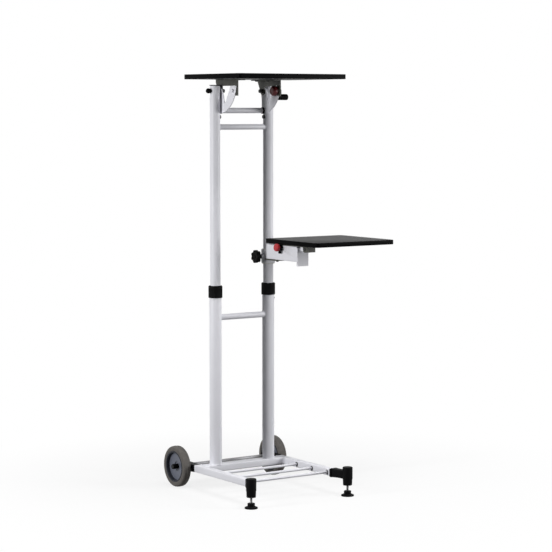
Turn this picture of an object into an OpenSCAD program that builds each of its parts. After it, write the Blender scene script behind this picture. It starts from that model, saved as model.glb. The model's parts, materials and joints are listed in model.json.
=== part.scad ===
/* [Posts] */
// Distance between the axes of the two posts
post_gap = 210; // [200:1:240]
// Outer diameter of the lower tubes
outer_d = 40; // [39:0.5:42]
// Wall of the lower tubes
outer_wall = 1.5; // [1:0.1:2]
// Height of the top of the lower tubes
outer_top = 670; // [640:1:690]
// Outer diameter of the upper tubes
inner_d = 34; // [32:0.5:34.5]
// Wall of the upper tubes
inner_wall = 2; // [1.5:0.1:3]
// Height of the lower end of the upper tubes at rest
inner_low = 390; // [300:1:440]
// Height of the upper end of the upper tubes
inner_top = 1333; // [1326:1:1336]
// Height of the crossbar between the lower tubes
low_bar_z = 571; // [200:1:600]
// Diameter of the crossbar between the lower tubes
low_bar_d = 20; // [16:0.5:25]
// Height of the crossbar between the upper tubes
high_bar_z = 1198; // [1150:1:1200]
// Height of the crossbar between the two yoke plates
head_bar_z = 1252; // [1240:1:1256]
// Diameter of the two upper crossbars
high_bar_d = 18; // [14:0.5:20]

/* [Twist locks] */
// Outer diameter of the black twist collar
lock_d = 46.5; // [45:0.5:52]
// Height of the twist collar
lock_h = 40; // [30:1:50]
// Thickness of the lip that closes the top of the twist collar
lock_lip = 4.7; // [3:0.1:8]
// Length of the guide bush inside the top of each lower tube
guide_len = 30; // [20:1:60]
// Length of the slider bush on the foot of each upper tube
slider_len = 35; // [20:1:60]

/* [Base] */
// Width over the two side rails
base_w = 354; // [330:1:400]
// Width of a side rail
rail_w = 25; // [20:1:30]
// Height of a side rail and of the rear beam
rail_h = 23; // [20:1:26]
// Height of the upper face of the rails
rail_top = 82; // [76:1:90]
// Wall of the rails and of the rear beam
rail_wall = 1.5; // [1:0.1:2.5]
// Reach of the rails in front of the posts
rail_front = 291; // [285:1:320]
// Depth of the rear beam, front to back
beam_depth = 40; // [40:1:60]
// Diameter of a tray rod
rod_d = 9; // [6:0.5:12]
// Distance of the first tray rod in front of the posts
rod_first = 101; // [60:1:110]
// Distance from one tray rod to the next
rod_step = 87; // [60:1:88]

/* [Wheels] */
// Diameter of a wheel
wheel_d = 137; // [125:1:150]
// Width of a wheel
wheel_w = 28; // [22:1:32]
// Diameter over the rim, where the tyre starts
rim_d = 104; // [96:1:112]
// Diameter of the axle
axle_d = 12; // [10:0.5:14]
// Distance of the axle behind the posts
axle_back = 102; // [95:1:120]

/* [Levelling feet] */
// Length of the elbow from the rail's end to the foot
elbow_reach = 62; // [56:1:80]
// Angle at which the left elbow turns outwards
elbow_yaw_left = 28; // [0:1:35]
// Angle at which the right elbow turns outwards
elbow_yaw_right = 14; // [0:1:35]
// Diameter of the elbow's upright barrel
barrel_d = 33; // [28:0.5:38]
// Height of the lower end of the barrel
barrel_low = 36; // [34:1:40]
// Height of the upper end of the barrel
barrel_top = 96; // [96:1:104]
// Diameter of the threaded stud
stud_d = 8; // [6:0.5:10]
// Diameter of the foot pad
pad_d = 42; // [36:1:50]
// Height of the foot pad with its hub
pad_h = 18; // [14:1:20]

/* [Table] */
// Width of the table board
table_w = 418; // [380:1:460]
// Length of the table board, front to back
table_l = 332; // [300:1:360]
// Thickness of the table board
table_t = 16; // [12:1:20]
// Reach of the table board behind the posts
table_back = 30; // [25:1:40]
// Radius of the corners of both boards
board_corner_r = 12; // [6:1:20]
// Thickness of the edging round both boards
edging_t = 2.5; // [1.5:0.5:4]

/* [Tilt head] */
// Height of the tilt axis
pivot_z = 1316; // [1314:1:1318]
// Height from the tilt axis to the underside of the table board
head_h = 37; // [36:1:44]
// Thickness of the yoke plates and the table brackets
plate_t = 3; // [2:0.5:4]
// Distance from the tilt axis to the clamp bolt
clamp_reach = 82; // [78:1:84]
// Diameter of the pivot and clamp bolts
bolt_d = 8; // [6:0.5:9]
// Diameter of the red cap on the table clamp
table_cap_d = 33; // [24:1:36]
// Throw of the crank on the table clamp
crank_throw = 20; // [16:1:22]
// Length of the grip on the crank
grip_len = 29; // [25:1:50]
// Diameter of the grip on the crank
grip_d = 20; // [14:0.5:22]

/* [Arm] */
// Height of the middle of the arm collar above the twist locks
arm_over_lock = 89; // [87:1:120]
// Outer diameter of the arm collar
collar_d = 47; // [46:0.5:54]
// Height of the arm collar
collar_h = 45; // [44:1:56]
// Outer diameter of the bush rings inside the collar
bush_d = 40; // [38:0.5:41]
// Width of the arm's box tube
arm_w = 44; // [40:1:50]
// Height of the arm's box tube
arm_h = 50; // [46:1:54]
// Wall of the arm's box tube
arm_wall = 2; // [1.5:0.5:3]
// Height of the arm's upper face above the middle of the collar
arm_rise = 43; // [38:1:48]
// Distance of the arm's front end from the post axis
arm_reach = 198; // [190:1:202]
// Distance of the shelf's hinge pin from the arm's front end
hinge_stand = 38; // [28:1:47]
// Diameter of the hinge pin
hinge_pin_d = 8; // [6:0.5:10]
// Diameter over the lobes of the star knob
star_d = 44; // [36:1:50]
// Distance of the shelf clamp's bolt from the post axis
shelf_clamp_reach = 110; // [100:1:120]
// Diameter of the red cap on the shelf clamp
shelf_cap_d = 26; // [18:1:27]

/* [Shelf] */
// Width of the shelf board
shelf_w = 315; // [260:1:360]
// Length of the shelf board, front to back
shelf_l = 300; // [280:1:305]
// Thickness of the shelf board
shelf_t = 15; // [10:1:20]
// Distance of the shelf's rear edge in front of the post axis
shelf_start = 30; // [28:1:40]
// Reach of the shelf past the arm's centre line towards the posts
shelf_inner = 35; // [30:1:60]

/* [Hidden] */

// Clearances and tolerances
run_gap = 0.08;
seat_gap = 0.3;
over = 1;
blend_step = 0.5;
slot_steps = 8;
end_step = 20;
$fn = 64;

// Colours
powder_white = [0.88, 0.88, 0.90];
plate_olive = [0.32, 0.33, 0.28];
plastic_black = [0.06, 0.06, 0.07];
board_black = [0.04, 0.04, 0.05];
clamp_red = [0.72, 0.10, 0.12];
rubber_grey = [0.37, 0.35, 0.33];
rim_grey = [0.47, 0.49, 0.55];
steel_grey = [0.60, 0.60, 0.62];
nylon_white = [0.85, 0.85, 0.82];

// Posts
post_x = post_gap / 2;
outer_bore_d = outer_d - 2 * outer_wall;
guide_flange_h = 2;
lock_top = outer_top + guide_flange_h + seat_gap + lock_lip;
post_cap_h = 2.5;
post_cap_overhang = 1;
post_plug_h = 14;
stop_screw_d = 8;
stop_screw_head = 4;
stop_screw_drop = 45;
stop_screw_shank_d = 4;

// Base
rail_x = base_w / 2 - rail_w / 2;
rail_low = rail_top - rail_h;
rail_mid_z = rail_top - rail_h / 2;
rail_back = beam_depth / 2;
rail_inner_x = base_w / 2 - rail_w;
rod_count = 3;
plug_len = 30;
plug_gap = 0.2;
grommet_d = rod_d + 5;
grommet_t = 2.5;

// Wheels
axle_z = wheel_d / 2;
wheel_gap = 1.5;
wheel_in_x = base_w / 2 + wheel_gap;
wheel_out_x = wheel_in_x + wheel_w;
hub_inset = 1;
hub_d = 30;
hub_recess_d = 25;
hub_recess = 4;
web_t = 4;
hub_len = (wheel_w + web_t) / 2 - hub_inset - hub_recess;
ring_t = 6;
wheel_bush_d = 16;
tyre_shoulder_r = 7;
boss_d = 30;
spacer_d = 22;
cap_d = 17;
cap_t = 5;
cap_floor = 1.5;

// Levelling feet
function elbow_yaw(side) = side > 0 ? elbow_yaw_right : elbow_yaw_left;
function foot_x(side) = rail_x + elbow_reach * sin(elbow_yaw(side));
function foot_front(side) = rail_front + elbow_reach * cos(elbow_yaw(side));
elbow_lip = 3;
elbow_neck_w = 26;
elbow_flange_len = 8;
barrel_chamfer = 2;
barrel_taper = 3;
insert_d = 14;
insert_len = 18;
stud_room = 2;
stud_foot_z = 8;
stud_top_z = 80;
barrel_roof = 3.5;
pad_rim_h = 5;
pad_cone_h = 5;
pad_hub_d = 24;

// Boards
table_front = table_l - table_back;
table_under = pivot_z + head_h;
table_mid_y = (table_back - table_front) / 2;

// Tilt head, in distances from the tilt axis
yoke_x = post_x - inner_d / 2;
bracket_x = yoke_x - plate_t - seat_gap;
ear_r = 13;
stem_back = 9;
neck_drop = 30;
arc_r = 105;
arc_centre_front = -2;
arc_centre_up = 31;
arm_ear_r = 16;
yoke_low_cut = 80;
gap_top = 6;
gap_low = 43;
gap_back = 17;
gap_front = 62;
gap_tip = 32;
bar_drop = 21;
bar_back = 27;
bar_heel = 9;
bar_front = 105;
ear_low = 16;
ear_back = 64;
slot_up_angle = 10;
slot_down_angle = 6;
slot_play = 0.4;
flange_w = 30;
post_screw_drop = 85;
post_screw_head = 4;
bolt_head_d = 14;
bolt_head_h = 6;
pivot_head_h = 12;
pivot_cap_d = 17;
pivot_cap_len = 15;
pivot_cap_gap = 2;
screw_d = 6;
screw_head_d = 12;
screw_head_h = 3;
screw_depth = 9;
flange_screw_back_share = 0.12;
flange_screw_front_share = 0.62;
flange_screw_side_share = 0.6;
table_cap_t = 14;
table_cap_dome = 4;
crank_boss_d = 20;
crank_t = 8;

// Arm
arm_x = post_x;
arm_z = lock_top + arm_over_lock;
collar_low = arm_z - collar_h / 2;
collar_top = arm_z + collar_h / 2;
ring_len = 16;
ring_flange_t = 2;
ring_flange_d = 44;
collar_chamfer = 5;
arm_top = arm_z + arm_rise;
arm_low = arm_top - arm_h;
arm_start = inner_d / 2 + 2;
end_plate_t = 5;
end_plate_drop = 14;
end_plate_rise = 4;
tongue_w = 20;
tongue_r = 9;
tongue_crown = 5;
hinge_reach = arm_reach + hinge_stand;
hinge_drop = 6;
hinge_z = arm_top - hinge_drop;
gusset_t = 4;
gusset_reach = 84;
gusset_w = 42;
knob_screw_d = 8;
knob_boss_d = 16;
knob_boss_len = 6;
knob_stand = 40;
star_t = 16;
star_core_d = 32;
star_hub_d = 18;
star_hub_len = 6;
star_lobes = 7;
lobe_d = 12;
lobe_turn_share = 0.25;
shelf_clamp_z = arm_top - 7;
knob_body_d = 19;
knob_body_t = 13;
knob_cap_t = 9;
knob_cap_dome = 3;
knob_lever_len = 20;
knob_lever_d = 9;
plate_slot_w = 7;
plate_slot_play = 24;

// Shelf
bracket_rest_gap = 0.5;
shelf_plate_t = 3.5;
shelf_under = arm_top + bracket_rest_gap + shelf_plate_t;
shelf_plate_w = 44;
shelf_plate_back = 62;
shelf_plate_front = hinge_reach + 14;
clevis_t = 6;
clevis_r = 11;
clevis_web_t = 3;
pin_head = 2;
arc_plate_t = 4;
arc_plate_half = 13;
arc_plate_low = arm_low + arm_wall + 1;
shelf_tilt_max = 10;
shelf_head_h = 2;
shelf_screw_side_share = 0.33;
shelf_screw_back_share = 0.08;
shelf_screw_front_share = 0.8;
shelf_front = shelf_start + shelf_l;
shelf_mid_x = arm_x - shelf_inner + shelf_w / 2;
shelf_mid_y = -(shelf_start + shelf_front) / 2;
shelf_clamp_drop = hinge_z - shelf_clamp_z;
shelf_clamp_back = hinge_reach - shelf_clamp_reach;
shelf_slot_r = sqrt(shelf_clamp_back * shelf_clamp_back + shelf_clamp_drop * shelf_clamp_drop);
shelf_slot_angle = atan2(shelf_clamp_drop, shelf_clamp_back);

// Whole object: its footprint is centred on the origin
side_reach = max(table_w / 2, wheel_out_x + cap_t);
left_reach = max(side_reach, shelf_inner - arm_x, foot_x(-1) + pad_d / 2);
right_reach = max(side_reach, arm_x - shelf_inner + shelf_w, foot_x(1) + pad_d / 2);
front_reach = max(foot_front(-1) + pad_d / 2, foot_front(1) + pad_d / 2, shelf_front, table_front);
back_reach = max(axle_back + wheel_d / 2, table_back);
shift_x = (left_reach - right_reach) / 2;
shift_y = (front_reach - back_reach) / 2;

// Moves a piece from the frame of the posts to the frame of the whole object
module in_place() {
    translate([shift_x, shift_y, 0])
        children();
}

// Mirrors a right-hand piece for the left side
module on_side(side) {
    if (side > 0) {
        children();
    } else {
        mirror([1, 0, 0])
            children();
    }
}

// Rod along X that starts at x
module rod_x(x, y, z, d, len) {
    translate([x, y, z])
        rotate([0, 90, 0])
            cylinder(d = d, h = len);
}

// Upright round tube
module tube_z(d, bore_d, low, high) {
    difference() {
        translate([0, 0, low])
            cylinder(d = d, h = high - low);
        translate([0, 0, low - over])
            cylinder(d = bore_d, h = high - low + 2 * over);
    }
}

// Plate that stands fore and aft: its outline has the forward distance first and the height second
module side_plate(x_high, t) {
    translate([x_high, 0, 0])
        rotate([90, 0, -90])
            linear_extrude(t)
                children();
}

// Rectangle with round corners, centred
module rounded_rect(w, l, r) {
    square([w - 2 * r, l], center = true);
    square([w, l - 2 * r], center = true);
    for (sx = [-1, 1], sy = [-1, 1])
        translate([sx * (w / 2 - r), sy * (l / 2 - r)])
            circle(r);
}

// Points along an arc about a centre
function arc_points(centre, r, from, to, steps) = [
    for (i = [0 : steps])
        let (a = from + (to - from) * i / steps)
            centre + r * [cos(a), sin(a)]
];

// Slot that follows an arc about the origin, from one angle to another, with round ends
module arc_slot(r, w, from, to) {
    polygon(concat(
        arc_points([0, 0], r + w / 2, from, to, slot_steps),
        arc_points(r * [cos(to), sin(to)], w / 2, to + end_step, to + 180 - end_step, slot_steps),
        arc_points([0, 0], r - w / 2, to, from, slot_steps),
        arc_points(r * [cos(from), sin(from)], w / 2, from + 180 + end_step, from + 360 - end_step, slot_steps)
    ));
}

module side_rail(side) {
    color(powder_white)
        in_place()
            on_side(side)
                difference() {
                    translate([rail_x - rail_w / 2, -rail_front, rail_low])
                        cube([rail_w, rail_front + rail_back, rail_h]);
                    translate([rail_x - rail_w / 2 + rail_wall, -rail_front - over, rail_low + rail_wall])
                        cube([rail_w - 2 * rail_wall, rail_front + rail_back + 2 * over, rail_h - 2 * rail_wall]);
                }
}

module rear_beam() {
    color(powder_white)
        in_place()
            difference() {
                translate([-rail_inner_x, -beam_depth / 2, rail_low])
                    cube([2 * rail_inner_x, beam_depth, rail_h]);
                translate([-rail_inner_x - over, -beam_depth / 2 + rail_wall, rail_low + rail_wall])
                    cube([2 * rail_inner_x + 2 * over, beam_depth - 2 * rail_wall, rail_h - 2 * rail_wall]);
            }
}

module tray_rods() {
    color(powder_white)
        in_place()
            for (i = [0 : rod_count - 1])
                rod_x(-rail_inner_x, -rod_first - i * rod_step, rail_mid_z, rod_d, 2 * rail_inner_x);
}

module rod_grommets() {
    color(plastic_black)
        in_place()
            for (side = [-1, 1], i = [0 : rod_count - 1])
                on_side(side)
                    difference() {
                        rod_x(rail_inner_x - grommet_t, -rod_first - i * rod_step, rail_mid_z, grommet_d, grommet_t);
                        rod_x(rail_inner_x - grommet_t - over, -rod_first - i * rod_step, rail_mid_z,
                            rod_d, grommet_t + 2 * over);
                    }
}

// Lower tube; the right one is drilled for the stop screw
module outer_post(side) {
    color(powder_white)
        in_place()
            difference() {
                translate([side * post_x, 0, 0])
                    tube_z(outer_d, outer_bore_d, rail_top, outer_top);
                rod_x(post_x, 0, outer_top - stop_screw_drop, stop_screw_shank_d, outer_d);
            }
}

// Crossbar whose ends are coped to the round posts
module coped_bar(z, d, post_d) {
    difference() {
        rod_x(-post_x, 0, z, d, 2 * post_x);
        for (side = [-1, 1])
            translate([side * post_x, 0, z - d])
                cylinder(d = post_d, h = 2 * d);
    }
}

module lower_crossbar() {
    color(powder_white)
        in_place()
            coped_bar(low_bar_z, low_bar_d, outer_d);
}

module guide_bushes() {
    color(nylon_white)
        in_place()
            for (side = [-1, 1])
                translate([side * post_x, 0, 0]) {
                    tube_z(outer_bore_d, inner_d + 2 * run_gap, outer_top - guide_len, outer_top);
                    tube_z(outer_d, inner_d + 2 * run_gap, outer_top, outer_top + guide_flange_h);
                }
}

module wheel_brackets() {
    color(plastic_black)
        in_place()
            for (side = [-1, 1])
                on_side(side)
                    difference() {
                        union() {
                            translate([rail_inner_x + rail_wall + plug_gap, rail_back - plug_len,
                                    rail_low + rail_wall + plug_gap])
                                cube([rail_w - 2 * rail_wall - 2 * plug_gap, plug_len,
                                    rail_h - 2 * rail_wall - 2 * plug_gap]);
                            side_plate(base_w / 2, rail_w) {
                                polygon([
                                    [-rail_back, rail_low],
                                    [-rail_back, rail_top],
                                    [-axle_back, axle_z + boss_d / 2],
                                    [-axle_back, axle_z - boss_d / 2]
                                ]);
                                translate([-axle_back, axle_z])
                                    circle(d = boss_d);
                            }
                            rod_x(base_w / 2, axle_back, axle_z, spacer_d, wheel_gap + hub_inset - seat_gap);
                        }
                        rod_x(rail_inner_x - over, axle_back, axle_z, axle_d, rail_w + wheel_gap + hub_inset + 2 * over);
                    }
}

module axle() {
    color(steel_grey)
        in_place()
            rod_x(-wheel_out_x - cap_t + cap_floor, axle_back, axle_z, axle_d,
                2 * (wheel_out_x + cap_t - cap_floor));
}

module axle_caps() {
    cap_start = wheel_in_x + hub_inset + hub_len + seat_gap;
    cap_len = wheel_out_x + cap_t - cap_start;
    color(plastic_black)
        in_place()
            for (side = [-1, 1])
                on_side(side)
                    difference() {
                        rod_x(cap_start, axle_back, axle_z, cap_d, cap_len);
                        rod_x(cap_start - over, axle_back, axle_z, axle_d, cap_len + over - cap_floor);
                    }
}

module foot_elbow(side) {
    difference() {
        union() {
            translate([rail_x - rail_w / 2 + rail_wall + plug_gap, -rail_front, rail_low + rail_wall + plug_gap])
                cube([rail_w - 2 * rail_wall - 2 * plug_gap, plug_len, rail_h - 2 * rail_wall - 2 * plug_gap]);
            translate([0, 0, rail_low - elbow_lip])
                linear_extrude(rail_h + 2 * elbow_lip) {
                    translate([rail_x - rail_w / 2 - elbow_lip, -rail_front - elbow_flange_len])
                        square([rail_w + 2 * elbow_lip, elbow_flange_len]);
                    translate([rail_x, -rail_front])
                        rotate(elbow_yaw(side))
                            translate([-elbow_neck_w / 2, -elbow_reach])
                                square([elbow_neck_w, elbow_reach - elbow_neck_w / 4]);
                }
            translate([foot_x(side), -foot_front(side), barrel_low])
                cylinder(d1 = barrel_d - barrel_taper, d2 = barrel_d, h = rail_low - elbow_lip - barrel_low);
            translate([foot_x(side), -foot_front(side), rail_low - elbow_lip])
                cylinder(d = barrel_d, h = barrel_top - barrel_chamfer - rail_low + elbow_lip);
            translate([foot_x(side), -foot_front(side), barrel_top - barrel_chamfer])
                cylinder(d1 = barrel_d, d2 = barrel_d - 2 * barrel_chamfer, h = barrel_chamfer);
        }
        translate([foot_x(side), -foot_front(side), barrel_low - over])
            cylinder(d = insert_d, h = insert_len + over);
        translate([foot_x(side), -foot_front(side), barrel_low])
            cylinder(d = stud_d + stud_room, h = barrel_top - barrel_roof - barrel_low);
    }
}

module foot_elbows() {
    color(plastic_black)
        in_place()
            for (side = [-1, 1])
                on_side(side)
                    foot_elbow(side);
}

module foot_inserts() {
    color(steel_grey)
        in_place()
            for (side = [-1, 1])
                translate([side * foot_x(side), -foot_front(side), 0])
                    tube_z(insert_d, stud_d + 2 * run_gap, barrel_low, barrel_low + insert_len);
}

module stop_screw() {
    color(plastic_black)
        in_place() {
            rod_x(post_x + outer_d / 2, 0, outer_top - stop_screw_drop, stop_screw_d, stop_screw_head);
            rod_x(post_x + outer_d / 2 - outer_wall, 0, outer_top - stop_screw_drop,
                stop_screw_shank_d, outer_wall + over);
        }
}

// Puts a wheel profile, radius first and distance from the inner face second, on its axle
module wheel_turned(side) {
    on_side(side)
        translate([wheel_in_x, axle_back, axle_z])
            rotate([0, 90, 0])
                rotate_extrude($fn = 96)
                    children();
}

module wheel_rim(side) {
    color(rim_grey)
        in_place()
            wheel_turned(side) {
                translate([wheel_bush_d / 2, hub_inset])
                    square([(hub_d - wheel_bush_d) / 2, hub_len]);
                translate([hub_recess_d / 2, hub_inset])
                    square([(hub_d - hub_recess_d) / 2, hub_len + hub_recess]);
                translate([hub_d / 2 - over, (wheel_w - web_t) / 2])
                    square([(rim_d - hub_d) / 2 - ring_t + 2 * over, web_t]);
                translate([rim_d / 2 - ring_t, 0])
                    square([ring_t, wheel_w]);
            }
}

module tyre(side) {
    tread = (wheel_d - rim_d) / 2;
    color(rubber_grey)
        in_place()
            wheel_turned(side)
                translate([rim_d / 2, 0]) {
                    square([tread - tyre_shoulder_r, wheel_w]);
                    translate([0, tyre_shoulder_r])
                        square([tread, wheel_w - 2 * tyre_shoulder_r]);
                    for (w = [tyre_shoulder_r, wheel_w - tyre_shoulder_r])
                        translate([tread - tyre_shoulder_r, w])
                            circle(tyre_shoulder_r);
                }
}

module wheel_bush(side) {
    color(nylon_white)
        in_place()
            wheel_turned(side)
                translate([axle_d / 2 + run_gap, hub_inset])
                    square([(wheel_bush_d - axle_d) / 2 - run_gap, hub_len]);
}

module lock_collar(side) {
    lip_low = outer_top + guide_flange_h + seat_gap;
    color(plastic_black)
        in_place()
            translate([side * post_x, 0, 0]) {
                tube_z(lock_d, outer_d + 2 * run_gap, lock_top - lock_h, lip_low);
                tube_z(lock_d, inner_d + 2 * seat_gap, lip_low, lock_top);
            }
}

module foot_pad(side) {
    color(plastic_black)
        in_place()
            translate([side * foot_x(side), -foot_front(side), 0])
                difference() {
                    union() {
                        cylinder(d = pad_d, h = pad_rim_h);
                        translate([0, 0, pad_rim_h])
                            cylinder(d1 = pad_d, d2 = pad_hub_d, h = pad_cone_h);
                        translate([0, 0, pad_rim_h])
                            cylinder(d = pad_hub_d, h = pad_h - pad_rim_h);
                    }
                    translate([0, 0, stud_foot_z - seat_gap])
                        cylinder(d = stud_d + 2 * run_gap, h = pad_h);
                }
}

module foot_stud(side) {
    color(steel_grey)
        in_place()
            translate([side * foot_x(side), -foot_front(side), stud_foot_z])
                cylinder(d = stud_d, h = stud_top_z - stud_foot_z);
}

module inner_post(side) {
    bolt_heights = [pivot_z, pivot_z - post_screw_drop];
    color(powder_white)
        in_place()
            difference() {
                translate([side * post_x, 0, 0])
                    tube_z(inner_d, inner_d - 2 * inner_wall, inner_low, inner_top);
                for (z = bolt_heights)
                    rod_x(side * post_x - inner_d, 0, z, bolt_d, 2 * inner_d);
            }
}

module slider_bushes() {
    color(nylon_white)
        in_place()
            for (side = [-1, 1])
                translate([side * post_x, 0, 0])
                    tube_z(outer_bore_d - 2 * run_gap, inner_d, inner_low, inner_low + slider_len);
}

module post_caps() {
    color(plastic_black)
        in_place()
            for (side = [-1, 1])
                translate([side * post_x, 0, inner_top]) {
                    cylinder(d = inner_d + 2 * post_cap_overhang, h = post_cap_h);
                    translate([0, 0, -post_plug_h / 2])
                        cylinder(d = inner_d - 2 * inner_wall, h = post_plug_h / 2);
                }
}

module upper_crossbar() {
    color(powder_white)
        in_place()
            coped_bar(high_bar_z, high_bar_d, inner_d);
}

module head_crossbar() {
    reach = yoke_x - plate_t;
    color(powder_white)
        in_place()
            rod_x(-reach, 0, head_bar_z, high_bar_d, 2 * reach);
}

// Outline of the fixed plate: an ear at the tilt axis and an arm that curves up to the clamp bolt
module yoke_outline() {
    difference() {
        union() {
            circle(ear_r);
            intersection() {
                translate([arc_centre_front, arc_centre_up])
                    circle(arc_r, $fn = 180);
                polygon([
                    [-ear_r, 0],
                    [-stem_back, -neck_drop],
                    [-stem_back, -yoke_low_cut],
                    [arc_r, -yoke_low_cut],
                    [arc_r + arc_centre_front, arm_ear_r],
                    [clamp_reach - arm_ear_r, arm_ear_r],
                    [gap_front, gap_top],
                    [gap_back, gap_top],
                    [ear_r, 0]
                ]);
            }
        }
        polygon([[ear_r, arm_ear_r + over], [gap_back, gap_top - over], [gap_tip, -gap_low],
            [gap_front, gap_top - over], [clamp_reach - arm_ear_r, arm_ear_r + over]]);
        circle(d = bolt_d);
        translate([clamp_reach, 0])
            circle(d = bolt_d);
    }
}

module yoke_plate(side) {
    color(powder_white)
        in_place()
            on_side(side)
                translate([0, 0, pivot_z])
                    side_plate(yoke_x, plate_t)
                        yoke_outline();
}

// Pivot bolts with their heads inside and their shanks through plates and posts
module pivot_bolts() {
    head_x = bracket_x - plate_t - seat_gap;
    color(plastic_black)
        in_place()
            for (side = [-1, 1])
                on_side(side) {
                    rod_x(head_x - pivot_head_h, 0, pivot_z, bolt_head_d, pivot_head_h);
                    rod_x(head_x - over, 0, pivot_z, bolt_d, post_x + inner_d / 2 + pivot_cap_gap - head_x + 2 * over);
                }
}

module pivot_caps() {
    cap_x = post_x + inner_d / 2;
    color(plastic_black)
        in_place()
            for (side = [-1, 1])
                on_side(side)
                    difference() {
                        union() {
                            rod_x(cap_x, 0, pivot_z, bolt_head_d, pivot_cap_gap);
                            rod_x(cap_x + pivot_cap_gap, 0, pivot_z, pivot_cap_d, pivot_cap_len - pivot_cap_d / 2);
                            translate([cap_x + pivot_cap_gap + pivot_cap_len - pivot_cap_d / 2, 0, pivot_z])
                                sphere(d = pivot_cap_d);
                        }
                        rod_x(cap_x - over, 0, pivot_z, bolt_d, pivot_cap_gap + 2 * over);
                    }
}

// Two bolts cross the posts under the yoke plates, and one guides the slot of the left bracket
module plate_bolts() {
    slot_head_x = bracket_x - plate_t - seat_gap;
    color(plastic_black)
        in_place() {
            for (side = [-1, 1])
                on_side(side) {
                    rod_x(yoke_x - post_screw_head, 0, pivot_z - post_screw_drop, bolt_head_d, post_screw_head);
                    rod_x(yoke_x - over, 0, pivot_z - post_screw_drop, bolt_d, inner_d + 2 * over);
                }
            on_side(-1) {
                rod_x(slot_head_x - bolt_head_h / 2, -clamp_reach, pivot_z, bolt_head_d, bolt_head_h / 2);
                rod_x(slot_head_x - over, -clamp_reach, pivot_z, bolt_d, yoke_x - slot_head_x + over);
                rod_x(yoke_x, -clamp_reach, pivot_z, bolt_head_d, bolt_head_h);
            }
        }
}

// Outline of the moving bracket: a bar under the board, a rear ear on the pivot and a slotted front ear
module bracket_outline() {
    difference() {
        union() {
            circle(ear_r);
            polygon([[-bar_back, head_h], [-bar_back, head_h - bar_heel], [blend_step - ear_r, 0],
                [ear_r - blend_step, 0], [ear_r - blend_step, head_h]]);
            translate([0, head_h - bar_drop])
                square([bar_front, bar_drop]);
            translate([ear_back, -ear_low])
                square([bar_front - ear_back, head_h + ear_low]);
        }
        circle(d = bolt_d + 2 * run_gap);
        arc_slot(clamp_reach, bolt_d + 2 * slot_play, -slot_down_angle, slot_up_angle);
    }
}

// Shares of the bracket's length at which its flange is screwed to the board
function flange_screw_fronts() = [
    -bar_back + (bar_back + bar_front) * flange_screw_back_share,
    -bar_back + (bar_back + bar_front) * flange_screw_front_share
];

module table_bracket(side) {
    color(plate_olive)
        in_place()
            on_side(side)
                translate([0, 0, pivot_z])
                    difference() {
                        union() {
                            side_plate(bracket_x, plate_t)
                                bracket_outline();
                            translate([bracket_x - flange_w, -bar_front, head_h - plate_t])
                                cube([flange_w, bar_back + bar_front, plate_t]);
                        }
                        for (front = flange_screw_fronts())
                            translate([bracket_x - flange_w * flange_screw_side_share, -front, head_h - 2 * plate_t])
                                cylinder(d = screw_d, h = 3 * plate_t);
                    }
}

module table_board() {
    color(board_black)
        in_place()
            difference() {
                translate([0, table_mid_y, table_under])
                    linear_extrude(table_t)
                        rounded_rect(table_w - 2 * edging_t, table_l - 2 * edging_t, board_corner_r - edging_t);
                for (side = [-1, 1], front = flange_screw_fronts())
                    on_side(side)
                        translate([bracket_x - flange_w * flange_screw_side_share, -front, table_under - over])
                            cylinder(d = screw_d, h = screw_depth + over);
            }
}

module board_edge(w, l, t) {
    linear_extrude(t)
        difference() {
            rounded_rect(w, l, board_corner_r);
            rounded_rect(w - 2 * edging_t, l - 2 * edging_t, board_corner_r - edging_t);
        }
}

module table_edge() {
    color(plastic_black)
        in_place()
            translate([0, table_mid_y, table_under])
                board_edge(table_w, table_l, table_t);
}

// Screw that points up, with its head under the surface that it holds
module board_screw(plate) {
    translate([0, 0, -plate])
        cylinder(d = screw_d, h = plate + screw_depth);
    translate([0, 0, -plate - screw_head_h])
        cylinder(d = screw_head_d, h = screw_head_h);
}

module table_screws() {
    color(steel_grey)
        in_place()
            for (side = [-1, 1], front = flange_screw_fronts())
                on_side(side)
                    translate([bracket_x - flange_w * flange_screw_side_share, -front, table_under])
                        board_screw(plate_t);
}

module table_clamp_cap() {
    cap_x = bracket_x - plate_t - seat_gap;
    color(clamp_red)
        in_place() {
            rod_x(cap_x - table_cap_t, -clamp_reach, pivot_z, table_cap_d, table_cap_t);
            translate([cap_x - table_cap_t - table_cap_dome, -clamp_reach, pivot_z])
                rotate([0, 90, 0])
                    cylinder(d1 = table_cap_d - 2 * table_cap_dome, d2 = table_cap_d, h = table_cap_dome);
        }
}

// Clamp bolt with a crank and a grip on the outer side of the right yoke plate
module table_clamp_crank() {
    start = yoke_x + seat_gap;
    cap_x = bracket_x - plate_t - seat_gap;
    color(plastic_black)
        in_place()
            translate([0, -clamp_reach, pivot_z]) {
                rod_x(cap_x, 0, 0, bolt_d - 2 * run_gap, start - cap_x + over);
                rod_x(start, 0, 0, crank_boss_d, crank_t);
                translate([start, -crank_boss_d / 2, -crank_throw])
                    cube([crank_t, crank_boss_d, crank_throw]);
                rod_x(start, 0, -crank_throw, crank_boss_d, crank_t);
                rod_x(start + crank_t - over, 0, -crank_throw, grip_d, grip_len + over);
            }
}

// Two flanged half bushes that leave room for the clamping screw between them
module arm_bush_rings() {
    color(nylon_white)
        in_place()
            translate([arm_x, 0, 0]) {
                tube_z(bush_d, inner_d + 2 * run_gap, collar_low, collar_low + ring_len);
                tube_z(ring_flange_d, inner_d + 2 * run_gap, collar_low - ring_flange_t, collar_low - seat_gap);
                tube_z(bush_d, inner_d + 2 * run_gap, collar_low - over, collar_low + over);
                tube_z(bush_d, inner_d + 2 * run_gap, collar_top - ring_len, collar_top + over);
                tube_z(ring_flange_d, inner_d + 2 * run_gap, collar_top + seat_gap, collar_top + ring_flange_t);
            }
}

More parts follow.
